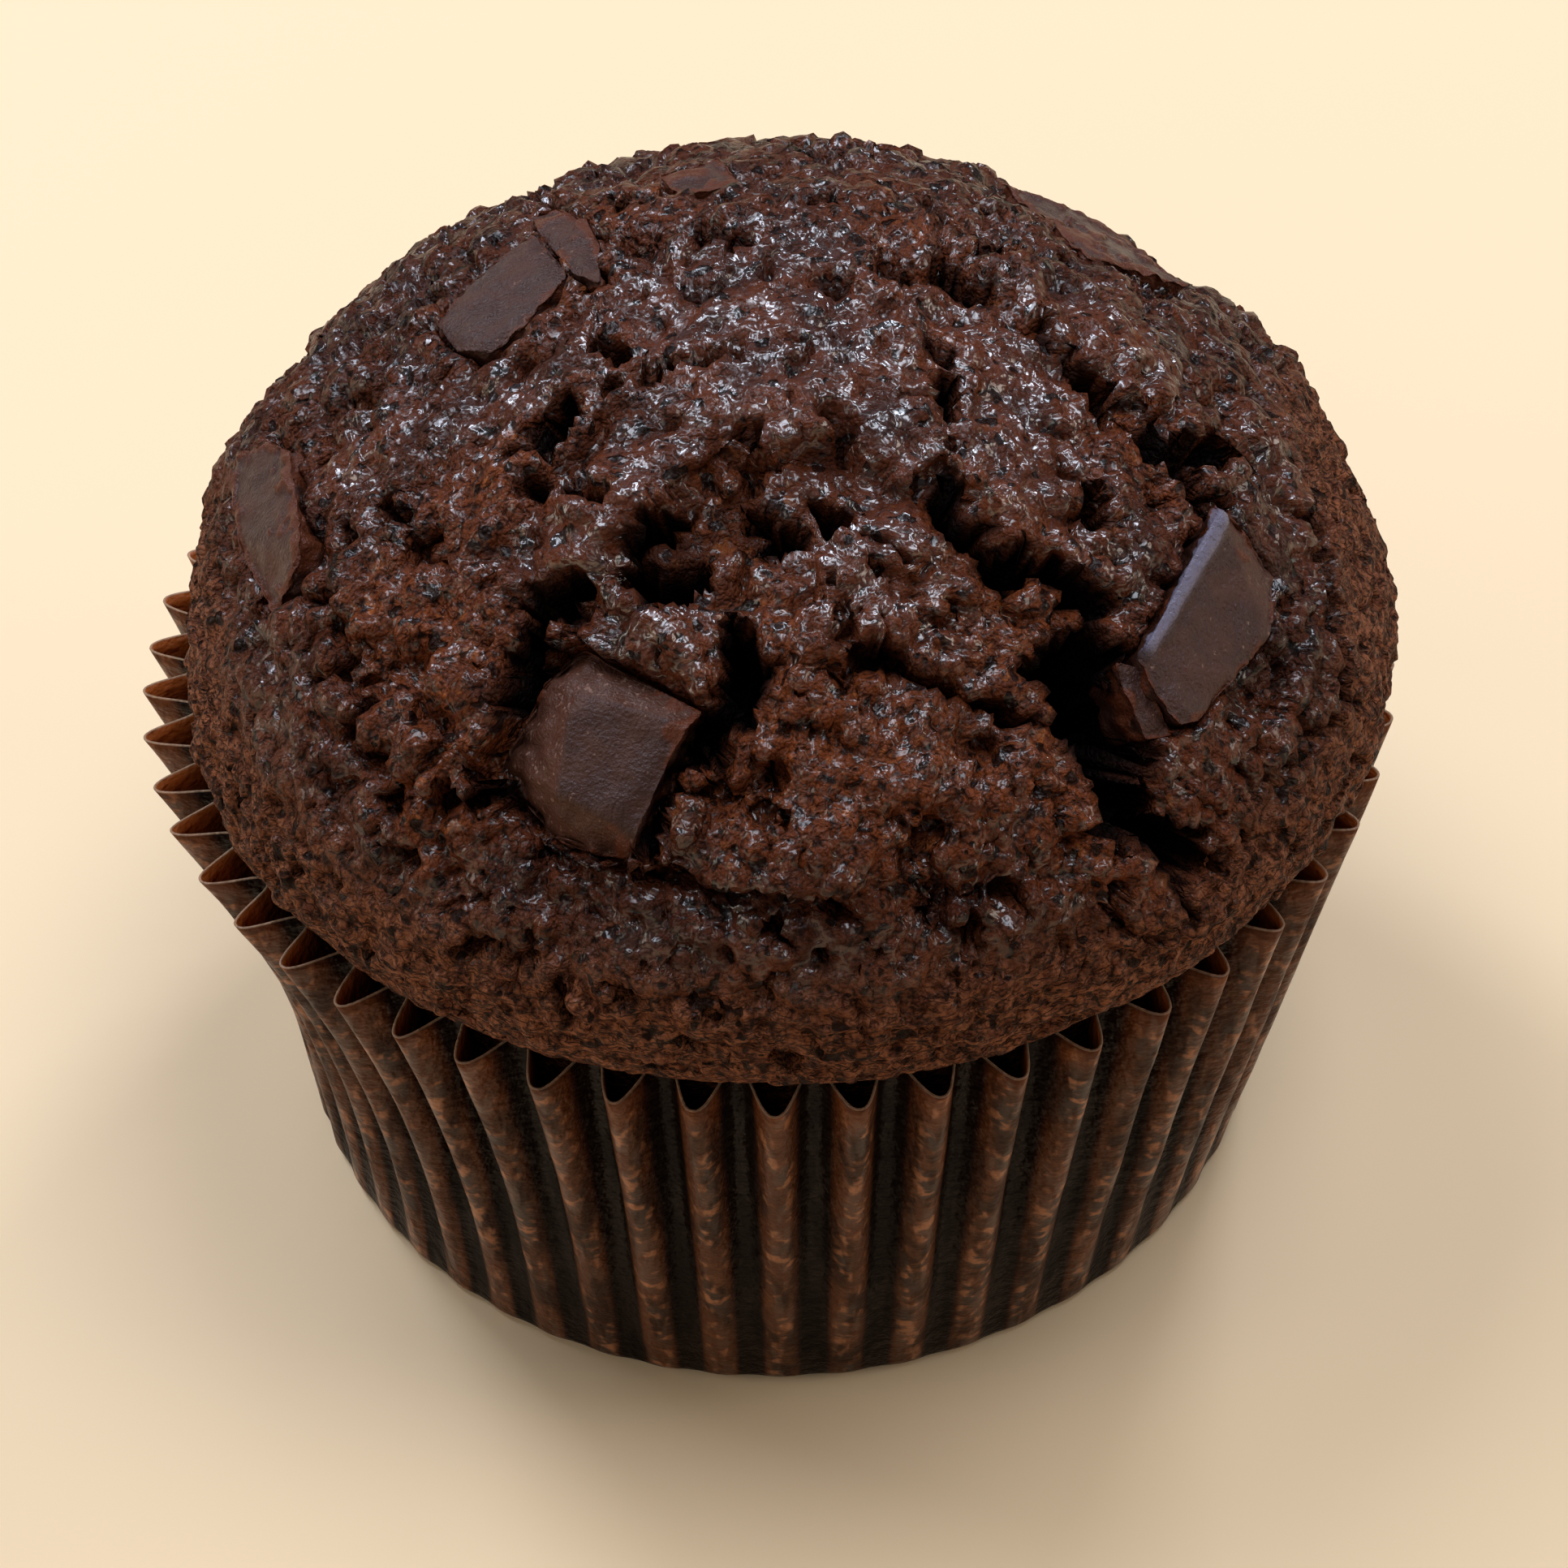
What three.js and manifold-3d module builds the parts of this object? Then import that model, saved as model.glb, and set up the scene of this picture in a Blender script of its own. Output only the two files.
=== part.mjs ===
// A chocolate muffin with chocolate chunks, baked in a fluted paper case and standing upright.
// Millimetres and degrees. The origin is the middle of the case's base, +Z is up, and the side that
// shows its two largest chunks faces -Y. The case, the cake and each chunk are separate solids.
import * as THREE from "three";
import { ConvexGeometry } from "three/addons/geometries/ConvexGeometry.js";
import { mergeVertices } from "three/addons/utils/BufferGeometryUtils.js";
import Module from "manifold-3d";

const wasm = await Module();
wasm.setup();

// The paper case: a flat base, and a wall that flares up to a rim of pleats
const RIM_RADIUS = 37.5; // over the pleats' outer folds
const BASE_RADIUS = 31.2;
const CASE_HEIGHT = 32.3;
const PAPER = 0.4;
const PLEATS = 53;
const PLEAT_DEPTH = 3.2; // at the rim, running out to nothing at the base
const STEPS_PER_PLEAT = 6;
const FOLD_ROUNDNESS = 0.4; // 1 is a plain wave, and less has flatter folds and steeper flanks
const FIRST_PLEAT = 171; // azimuth of an outer fold
const PLEAT_CROWDING = 3.7; // degrees that the pleats are pushed away from the crowded side
const WIDE_PLEATS_AT = 355; // azimuth where the pleats are widest
const RIM_LEAN = new THREE.Vector2(0.25, 0); // how far the rim's middle lies from the base's
const DENT = { azimuth: 208, breadth: 38, depth: 1.3 }; // the wall's middle is pushed in at one side

// The cake: a tapered body that fills the case, and a top that has risen, spread and leant forwards
const GAP = 0.3; // between the cake, the case and the chunks
const TOP_HEIGHT = 63.5;
const SPREAD_RADIUS = 35.4; // at the top's widest
const SPREAD_HEIGHT = 39.6; // where the top is widest
const NECK_HEIGHT = CASE_HEIGHT + 0.35; // where the top leaves the case and starts to overhang
const NECK_RADIUS = RIM_RADIUS - PLEAT_DEPTH - PAPER - GAP;
const FOOT_RADIUS = BASE_RADIUS - PAPER - 2 * GAP;
const FOOT_BEVEL = 1;
const LEAN = new THREE.Vector2(0.94, -3.26); // how far the top's middle lies from the case's
const DOME_POWER = 1.67; // 2 is an ellipse, and less is more pointed
const ROUND_STEPS = 84;
const DOME_STEPS = 19;
const OVERHANG_STEPS = 4;
const RELIEF_STARTS = 34; // height below which the cake is smooth
const RELIEF_FADE = 4;

// Swells and hollows of the top: azimuth, elevation, height and breadth
const SWELLS = [
  [142, 20, 0.9, 9],
  [124, 29, -1.4, 3.5],
  [109, 31, 0.9, 7],
  [90, 34, -0.8, 4],
  [73, 31, 0.4, 6],
  [42, 28, -1.7, 10],
  [158, 11, -0.6, 4],
  [10, 10, -0.4, 10],
  [-22, -8, 0.5, 7],
  [-95, 60, 0.7, 9],
  [-75, 25, 0.9, 9],
  [-140, 30, 0.5, 9],
  [-65, -15, 0.4, 9],
  [-97, -20, 0.5, 8],
];

// Cracks and torn hollows: breadth, depth, and the azimuth and elevation of the points they run through
const CRACKS = [
  { breadth: 2.2, depth: 5.5, path: [[-55, 30], [-55, 20], [-54, 9], [-54, 3]] },
  { breadth: 2.2, depth: 5, path: [[-124, 37], [-121, 27]] },
  { breadth: 2.4, depth: 4, path: [[-22, 40], [-14, 30]] },
  { breadth: 2.2, depth: 4, path: [[-61, 48], [-60, 41], [-49, 33]] },
  { breadth: 2.4, depth: 2.6, path: [[-113, 43], [-102, 43]] },
  { breadth: 2.4, depth: 2.6, path: [[-98, 53], [-83, 50]] },
  { breadth: 2, depth: 2, path: [[-94, 37], [-96, 28]] },
  { breadth: 2, depth: 3.5, path: [[-10, 57], [-21, 43]] },
  { breadth: 2.2, depth: 2, path: [[-106, 14], [-91, 13]] },
  { breadth: 2.4, depth: 2.5, path: [[45, 66], [30, 60]] },
  { breadth: 2.2, depth: 2.5, path: [[70, 22], [84, 16], [96, 18]] },
  { breadth: 2.2, depth: 2.5, path: [[128, 12], [140, 4], [152, 6]] },
  { breadth: 2.2, depth: 2, path: [[22, 6], [34, 10]] },
];

// Chocolate chunks. The face is the outline that shows, in millimetres east and up the dome from the
// chunk's middle, anticlockwise, and hips is how far each side's slope reaches in from the outline.
const SHORT_HIP = 0.6;
const CHUNKS = [
  {
    name: "chunk_front",
    azimuth: -111.7,
    elevation: 24,
    face: [[-4.9, -2.1], [2.4, -4.9], [4.8, 2.8], [-2.5, 4.3]],
    hips: [1.6, SHORT_HIP, SHORT_HIP, 2.6],
    depth: 6.2,
    proud: 1.3,
    shoulder: 1.9,
  },
  {
    name: "chunk_right",
    azimuth: -36.6,
    elevation: 22.5,
    face: [[-4.9, -2.6], [3.4, -2.9], [6.3, 3.8], [-4.9, 2.6]],
    hips: [SHORT_HIP, SHORT_HIP, 1.2, SHORT_HIP],
    depth: 5,
    proud: 0.8,
    shoulder: 1,
  },
  {
    name: "chunk_right_sliver",
    azimuth: -49.2,
    elevation: 21.7,
    face: [[-1.2, -1.9], [0.2, -2.7], [0.7, 2.1], [-1.1, 2.5]],
    hips: [0.3, 0.3, 0.3, 0.3],
    depth: 3,
    proud: 0.5,
    shoulder: 0.5,
  },
  {
    name: "chunk_upper_left",
    azimuth: 169.7,
    elevation: 53.3,
    face: [[-0.6, -5.2], [3.4, -3.6], [4.7, -0.3], [0.1, 4.2], [-4.8, 1.1]],
    hips: [SHORT_HIP, SHORT_HIP, SHORT_HIP, SHORT_HIP, SHORT_HIP],
    depth: 4.5,
    proud: 0.6,
    shoulder: 0.7,
  },
  {
    name: "chunk_upper_left_small",
    azimuth: 150.5,
    elevation: 59.3,
    face: [[-3.4, -3.6], [-0.6, -1.8], [3, 3.2], [1.2, 4.4], [-2.8, 0.2]],
    hips: [SHORT_HIP, SHORT_HIP, SHORT_HIP, SHORT_HIP, SHORT_HIP],
    depth: 4,
    proud: 0.5,
    shoulder: 0.7,
  },
  {
    name: "chunk_left",
    azimuth: -172.8,
    elevation: 19.7,
    face: [[-7.6, -2.8], [6.1, -2.4], [5.3, 2.5], [-2.2, 2.9]],
    hips: [SHORT_HIP, SHORT_HIP, SHORT_HIP, SHORT_HIP],
    depth: 4.5,
    proud: 0.5,
    shoulder: 0.8,
  },
  {
    name: "chunk_upper_right",
    azimuth: 36,
    elevation: 33,
    face: [[-5.4, -3.4], [3.4, -4.6], [5.6, 3], [-4.2, 5]],
    hips: [SHORT_HIP, SHORT_HIP, SHORT_HIP, SHORT_HIP],
    depth: 5.2,
    proud: -0.5,
    shoulder: 1.2,
  },
  {
    name: "chunk_top_back",
    azimuth: 110.7,
    elevation: 63.9,
    face: [[-1.9, -2.6], [1.9, -2.2], [2.2, 2], [-1.4, 2.8]],
    hips: [0.4, 0.4, 0.4, 0.4],
    depth: 3.5,
    proud: 0.4,
    shoulder: 0.6,
  },
  {
    name: "chunk_back_right",
    azimuth: 62,
    elevation: 1,
    face: [[-4.4, -3.8], [4.6, -3], [3.6, 3.6], [-3.8, 3]],
    hips: [SHORT_HIP, SHORT_HIP, 1.6, SHORT_HIP],
    depth: 5.5,
    proud: 1,
    shoulder: 1.3,
  },
  {
    name: "chunk_back",
    azimuth: 99,
    elevation: 17,
    face: [[-5.2, -2.2], [3.2, -3.8], [5, 1.6], [-2.6, 3.6]],
    hips: [SHORT_HIP, SHORT_HIP, SHORT_HIP, 1.4],
    depth: 5,
    proud: 0.9,
    shoulder: 1.1,
  },
  {
    name: "chunk_back_left",
    azimuth: 141,
    elevation: 4,
    face: [[-3.2, -3.4], [3.8, -2.4], [3, 2.8], [-3.8, 2.4]],
    hips: [SHORT_HIP, 1.4, SHORT_HIP, SHORT_HIP],
    depth: 4.5,
    proud: 0.8,
    shoulder: 1,
  },
];
const ROOT_INSET = 0.8; // how far a chunk narrows towards its buried end
const POCKET_REACH = 6; // how far a chunk's pocket runs out past the dome

const dome = new THREE.Vector3(LEAN.x, LEAN.y, SPREAD_HEIGHT);
const domeHeight = TOP_HEIGHT - SPREAD_HEIGHT;
const overhang = SPREAD_HEIGHT - NECK_HEIGHT;
const radians = THREE.MathUtils.degToRad;

const SAME_PLACE = 1e-4; // vertices closer than this are one

// Merges a geometry's shared vertices and drops the triangles that a pole leaves without area.
function weld(geometry) {
  geometry.deleteAttribute("normal");
  geometry.deleteAttribute("uv");
  const merged = mergeVertices(geometry, SAME_PLACE);
  const kept = [];
  for (let i = 0; i < merged.index.count; i += 3) {
    const corners = [0, 1, 2].map((k) => merged.index.getX(i + k));
    if (new Set(corners).size === 3) kept.push(...corners);
  }
  merged.setIndex(kept);
  return merged;
}

// A closed geometry as a solid that can be cut.
function toSolid(geometry) {
  return new wasm.Manifold(
    new wasm.Mesh({
      numProp: 3,
      vertProperties: new Float32Array(geometry.attributes.position.array),
      triVerts: new Uint32Array(geometry.index.array),
    }),
  );
}

function toGeometry(solid) {
  const mesh = solid.getMesh();
  const geometry = new THREE.BufferGeometry();
  geometry.setAttribute("position", new THREE.BufferAttribute(mesh.vertProperties, 3));
  geometry.setIndex(new THREE.BufferAttribute(mesh.triVerts, 1));
  geometry.computeVertexNormals();
  return geometry;
}

// Turns a profile of [radius, height] points about the upright axis.
function turned(profile, steps) {
  const points = profile.map(([radius, height]) => new THREE.Vector2(radius, height));
  return weld(new THREE.LatheGeometry(points, steps).rotateX(Math.PI / 2));
}

// Moves every vertex of a geometry by a function of its place.
function reshape(geometry, move) {
  const position = geometry.attributes.position;
  const vertex = new THREE.Vector3();
  for (let i = 0; i < position.count; i++) {
    move(vertex.fromBufferAttribute(position, i));
    position.setXYZ(i, vertex.x, vertex.y, vertex.z);
  }
  return geometry;
}

// Gives a point of the case, or of the cake in it, the rim's lean and the dent in the wall.
function settle(vertex) {
  const level = THREE.MathUtils.clamp(vertex.z / CASE_HEIGHT, 0, 1);
  const away = THREE.MathUtils.euclideanModulo(
    THREE.MathUtils.radToDeg(Math.atan2(vertex.y, vertex.x)) - DENT.azimuth + 180,
    360,
  );
  const dent = DENT.depth * Math.exp(-(((away - 180) / DENT.breadth) ** 2)) * Math.sin(Math.PI * level);
  const keep = 1 - dent / BASE_RADIUS;
  vertex.x = vertex.x * keep + RIM_LEAN.x * level;
  vertex.y = vertex.y * keep + RIM_LEAN.y * level;
}

function makeCase() {
  const middle = (BASE_RADIUS + RIM_RADIUS) / 2;
  const wall = turned(
    [
      [0, 0],
      [BASE_RADIUS, 0],
      [middle, CASE_HEIGHT / 2],
      [RIM_RADIUS, CASE_HEIGHT],
      [RIM_RADIUS - PAPER, CASE_HEIGHT],
      [middle - PAPER, CASE_HEIGHT / 2],
      [BASE_RADIUS - PAPER, PAPER],
      [0, PAPER],
    ],
    PLEATS * STEPS_PER_PLEAT,
  );
  return reshape(wall, (vertex) => {
    const radius = Math.hypot(vertex.x, vertex.y);
    const turn = Math.atan2(vertex.y, vertex.x);
    const wave = Math.cos(PLEATS * turn);
    const valley = (1 - Math.sign(wave) * Math.abs(wave) ** FOLD_ROUNDNESS) / 2;
    const height = Math.max(0, vertex.z - PAPER) / (CASE_HEIGHT - PAPER);
    const even = turn + radians(FIRST_PLEAT);
    const angle = even + radians(PLEAT_CROWDING) * Math.sin(even - radians(WIDE_PLEATS_AT));
    const reach = radius - PLEAT_DEPTH * valley * height;
    vertex.x = reach * Math.cos(angle);
    vertex.y = reach * Math.sin(angle);
    settle(vertex);
  });
}

// A point of the smooth dome, and the frame that lies on it: east, up the dome, and outwards.
function onDome(azimuth, elevation) {
  const turn = radians(azimuth);
  const rise = radians(elevation);
  const lower = rise < 0;
  const power = lower ? 2 : DOME_POWER;
  const height = lower ? overhang : domeHeight;
  const across = Math.cos(rise) / SPREAD_RADIUS;
  const upwards = Math.abs(Math.sin(rise)) / height;
  const reach = (across ** power + upwards ** power) ** (-1 / power);
  const out = new THREE.Vector3(Math.cos(turn), Math.sin(turn), 0);
  const point = dome.clone().addScaledVector(out, reach * Math.cos(rise));
  point.z += reach * Math.sin(rise);
  const steepness = (reach * across) ** (power - 1) / SPREAD_RADIUS;
  const flatness = (reach * upwards) ** (power - 1) / height;
  const outward = out.clone().multiplyScalar(steepness);
  outward.z = lower ? -flatness : flatness;
  outward.normalize();
  const east = new THREE.Vector3(-Math.sin(turn), Math.cos(turn), 0);
  const up = outward.clone().cross(east);
  return { point, frame: new THREE.Matrix4().makeBasis(east, up, outward).setPosition(point) };
}

// The cake's outline from the middle of its base to the top, before it leans and before its relief.
function cakeProfile() {
  const floor = PAPER + GAP;
  const profile = [
    [0, floor],
    [FOOT_RADIUS - FOOT_BEVEL, floor],
    [FOOT_RADIUS, floor + FOOT_BEVEL],
    [(FOOT_RADIUS + NECK_RADIUS) / 2, CASE_HEIGHT / 2],
    [NECK_RADIUS, CASE_HEIGHT],
  ];
  for (let i = 0; i < OVERHANG_STEPS; i++) {
    const turn = (Math.PI / 2) * (1 - i / OVERHANG_STEPS);
    const radius = NECK_RADIUS + (SPREAD_RADIUS - NECK_RADIUS) * Math.cos(turn);
    profile.push([radius, SPREAD_HEIGHT - overhang * Math.sin(turn)]);
  }
  for (let i = 0; i < DOME_STEPS; i++) {
    const turn = ((Math.PI / 2) * i) / DOME_STEPS;
    const radius = SPREAD_RADIUS * Math.cos(turn) ** (2 / DOME_POWER);
    profile.push([radius, SPREAD_HEIGHT + domeHeight * Math.sin(turn) ** (2 / DOME_POWER)]);
  }
  profile.push([0, TOP_HEIGHT]);
  return profile;
}

// How much of the top's own lean a height has: none in the case, and all of it above the widest level.
function leanAt(height) {
  if (height <= NECK_HEIGHT) return 0;
  if (height >= SPREAD_HEIGHT) return 1;
  return Math.sqrt(1 - ((SPREAD_HEIGHT - height) / overhang) ** 2);
}

const swells = SWELLS.map(([azimuth, elevation, height, breadth]) => {
  return { point: onDome(azimuth, elevation).point, height, breadth };
});
const cracks = CRACKS.map(({ breadth, depth, path }) => {
  const points = path.map(([azimuth, elevation]) => onDome(azimuth, elevation).point);
  const stretches = points.slice(1).map((point, i) => new THREE.Line3(points[i], point));
  return { breadth, depth, stretches };
});

// How far the cake stands out from the smooth dome at a point: swells add and cracks take away.
function relief(point) {
  const nearest = new THREE.Vector3();
  let rise = 0;
  for (const swell of swells) {
    rise += swell.height * Math.exp(-((point.distanceTo(swell.point) / swell.breadth) ** 2));
  }
  for (const crack of cracks) {
    const distances = crack.stretches.map((stretch) => {
      return stretch.closestPointToPoint(point, true, nearest).distanceTo(point);
    });
    rise -= crack.depth * Math.exp(-((Math.min(...distances) / crack.breadth) ** 2));
  }
  return rise;
}

function makeCake() {
  const outward = new THREE.Vector3();
  return reshape(turned(cakeProfile(), ROUND_STEPS), (vertex) => {
    settle(vertex);
    const lean = leanAt(vertex.z);
    vertex.x += (LEAN.x - RIM_LEAN.x) * lean;
    vertex.y += (LEAN.y - RIM_LEAN.y) * lean;
    const share = THREE.MathUtils.smoothstep(vertex.z, RELIEF_STARTS, RELIEF_STARTS + RELIEF_FADE);
    outward.subVectors(vertex, dome);
    outward.z = Math.max(0, outward.z) * (SPREAD_RADIUS / domeHeight) ** 2;
    outward.normalize();
    vertex.addScaledVector(outward, share * relief(vertex));
  });
}

// Moves each side of an anticlockwise outline inwards by its own distance.
function inset(outline, distances) {
  const sides = outline.map((start, i) => {
    const end = outline[(i + 1) % outline.length];
    const along = new THREE.Vector2(end[0] - start[0], end[1] - start[1]).normalize();
    const inward = new THREE.Vector2(-along.y, along.x);
    return { start: new THREE.Vector2(...start).addScaledVector(inward, distances[i]), along };
  });
  return sides.map((side, i) => {
    const before = sides.at(i - 1);
    const apart = side.start.clone().sub(before.start);
    const along = apart.cross(side.along) / before.along.cross(side.along);
    return before.start.clone().addScaledVector(before.along, along).toArray();
  });
}

// A broken chunk: a flat crown, sides that slope to the outline at the shoulder, and a narrower root.
function chunkBody({ face, hips, depth, proud, shoulder }) {
  const level = (outline, height) => outline.map(([x, y]) => new THREE.Vector3(x, y, height));
  const root = inset(face, face.map(() => ROOT_INSET));
  return weld(
    new ConvexGeometry([
      ...level(inset(face, hips), proud),
      ...level(face, proud - shoulder),
      ...level(root, proud - depth),
    ]),
  );
}

// The room that a chunk needs in the cake, open towards the outside.
function pocket({ face, depth, proud, azimuth, elevation }) {
  const outline = inset(face, face.map(() => -GAP));
  const shape = new THREE.Shape(outline.map(([x, y]) => new THREE.Vector2(x, y)));
  const reach = depth + GAP + POCKET_REACH;
  const room = new THREE.ExtrudeGeometry(shape, { depth: reach, bevelEnabled: false });
  room.translate(0, 0, proud - depth - GAP);
  return toSolid(weld(room).applyMatrix4(onDome(azimuth, elevation).frame));
}

const caseMaterial = new THREE.MeshStandardMaterial({ color: 0x42261a, roughness: 0.6, metalness: 0 });
const cakeMaterial = new THREE.MeshStandardMaterial({ color: 0x3a2016, roughness: 0.7, metalness: 0 });

const muffin = new THREE.Group();

const paperCase = new THREE.Mesh(makeCase(), caseMaterial);
paperCase.name = "paper_case";
muffin.add(paperCase);

let cakeSolid = toSolid(makeCake());
for (const chunk of CHUNKS) cakeSolid = cakeSolid.subtract(pocket(chunk));
const cake = new THREE.Mesh(toGeometry(cakeSolid), cakeMaterial);
cake.name = "cake";
muffin.add(cake);

for (const chunk of CHUNKS) {
  const chocolate = new THREE.MeshStandardMaterial({ color: 0x35231e, roughness: 0.5, metalness: 0 });
  const piece = new THREE.Mesh(chunkBody(chunk), chocolate);
  piece.name = chunk.name;
  piece.applyMatrix4(onDome(chunk.azimuth, chunk.elevation).frame);
  muffin.add(piece);
}

export default muffin;
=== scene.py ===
import math

import bpy
import numpy as np
from mathutils import Matrix, Vector, noise


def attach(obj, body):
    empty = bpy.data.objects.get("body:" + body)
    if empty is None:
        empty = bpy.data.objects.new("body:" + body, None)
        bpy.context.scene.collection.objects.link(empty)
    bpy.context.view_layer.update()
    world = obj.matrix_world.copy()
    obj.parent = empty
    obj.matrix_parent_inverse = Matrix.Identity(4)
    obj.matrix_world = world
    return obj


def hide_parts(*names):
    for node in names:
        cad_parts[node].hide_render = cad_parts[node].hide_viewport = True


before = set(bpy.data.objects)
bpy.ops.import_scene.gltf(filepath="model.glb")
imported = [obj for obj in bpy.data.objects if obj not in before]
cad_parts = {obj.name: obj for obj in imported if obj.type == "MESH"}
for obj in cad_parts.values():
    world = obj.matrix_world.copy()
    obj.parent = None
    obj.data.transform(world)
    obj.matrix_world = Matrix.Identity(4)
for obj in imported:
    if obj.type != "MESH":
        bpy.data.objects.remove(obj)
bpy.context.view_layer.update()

# The camera stands in front of the muffin and looks down at its top, as in the photograph. The same
# numbers tell where a place in the photograph lies on the muffin.
MM = 0.001
PHOTO_SIDE = 1932
SENSOR = 36
LENS = 83.85
AIMED_AT = Vector((0.69, 0, 20.3))
DISTANCE = 230.53
LOOKS_DOWN = math.radians(44.59)
ROLL = math.radians(-1.7)

backwards = Vector((0, -math.cos(LOOKS_DOWN), math.sin(LOOKS_DOWN)))
level_right = Vector((1, 0, 0))
level_up = backwards.cross(level_right)
eye_right = level_right * math.cos(ROLL) + level_up * math.sin(ROLL)
eye_up = level_up * math.cos(ROLL) - level_right * math.sin(ROLL)
eye = AIMED_AT + backwards * DISTANCE

camera_data = bpy.data.cameras.new("camera")
camera_data.sensor_width = SENSOR
camera_data.lens = LENS
camera_data.clip_start = 0.01
camera = bpy.data.objects.new("camera", camera_data)
camera.matrix_world = Matrix.Translation(eye * MM) @ Matrix((eye_right, eye_up, backwards)).transposed().to_4x4()
bpy.context.scene.collection.objects.link(camera)
bpy.context.scene.camera = camera


# The paper case is a disc of dark brown baking paper that was pressed over a form into a cup. Its
# wall is pleated all round: rounded folds, deep at the rim, that run out towards the flat base.
RIM_RADIUS = 37.5
BASE_RADIUS = 31.2
CASE_HEIGHT = 32.3
PAPER = 0.14
PLEATS = 53
PLEAT_DEPTH = 3.2
PLEAT_DEPTH_AT_BASE = 0.1
FIRST_PLEAT = math.radians(171)
PLEAT_CROWDING = math.radians(3.7)
WIDE_PLEATS_AT = math.radians(355)
PLEAT_ROUNDNESS = 1.25
RIM_LEAN = 0.25
DENT_AT = math.radians(208)
DENT_BREADTH = math.radians(38)
DENT_DEPTH = 1.3
RIM_FLARE = 0.7
RIM_FLARE_AT = math.radians(192)
STEPS_PER_PLEAT = 24
WALL_ROWS = 32
BASE_CORNER = 0.8


def settled(points):
    """Leans points of the case, or of the cake in it, and presses in the wall at one side."""
    level = np.clip(points[:, 2] / CASE_HEIGHT, 0, 1)
    away = (np.arctan2(points[:, 1], points[:, 0]) - DENT_AT + np.pi) % (2 * np.pi) - np.pi
    dent = DENT_DEPTH * np.exp(-((away / DENT_BREADTH) ** 2)) * np.sin(np.pi * level)
    moved = points.copy()
    moved[:, :2] *= (1 - dent / BASE_RADIUS)[:, None]
    moved[:, 0] += RIM_LEAN * level
    return moved


def unevenness(points, size, seed):
    """Smooth unevenness from -1 to 1, with lumps of this size."""
    start = Vector((13.7, 41.3, 77.1)) * seed
    return np.array([noise.noise(Vector(point) / size + start) for point in points])


def new_piece(name, points, faces, marks):
    """A mesh from points in millimetres, with a named number at each point for its material."""
    mesh = bpy.data.meshes.new(name)
    mesh.from_pydata((points * MM).tolist(), [], faces)
    for mark, values in marks.items():
        mesh.attributes.new(mark, "FLOAT", "POINT").data.foreach_set("value", values.astype(np.float32))
    mesh.polygons.foreach_set("use_smooth", [True] * len(mesh.polygons))
    mesh.update()
    piece = bpy.data.objects.new(name, mesh)
    bpy.context.scene.collection.objects.link(piece)
    return piece


def apply_modifiers(piece):
    """Replaces a piece's mesh by what its modifiers make of it."""
    evaluated = piece.evaluated_get(bpy.context.evaluated_depsgraph_get())
    mesh = bpy.data.meshes.new_from_object(evaluated)
    piece.modifiers.clear()
    piece.data = mesh


def ring_faces(rows, around):
    """Quads between rows of points that each run once round."""
    faces = []
    for row in range(rows - 1):
        for i in range(around):
            after = (i + 1) % around
            low = row * around
            faces.append((low + i, low + after, low + around + after, low + around + i))
    return faces


def smooth(value, low, high):
    share = np.clip((value - low) / (high - low), 0, 1)
    return share * share * (3 - 2 * share)


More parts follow.
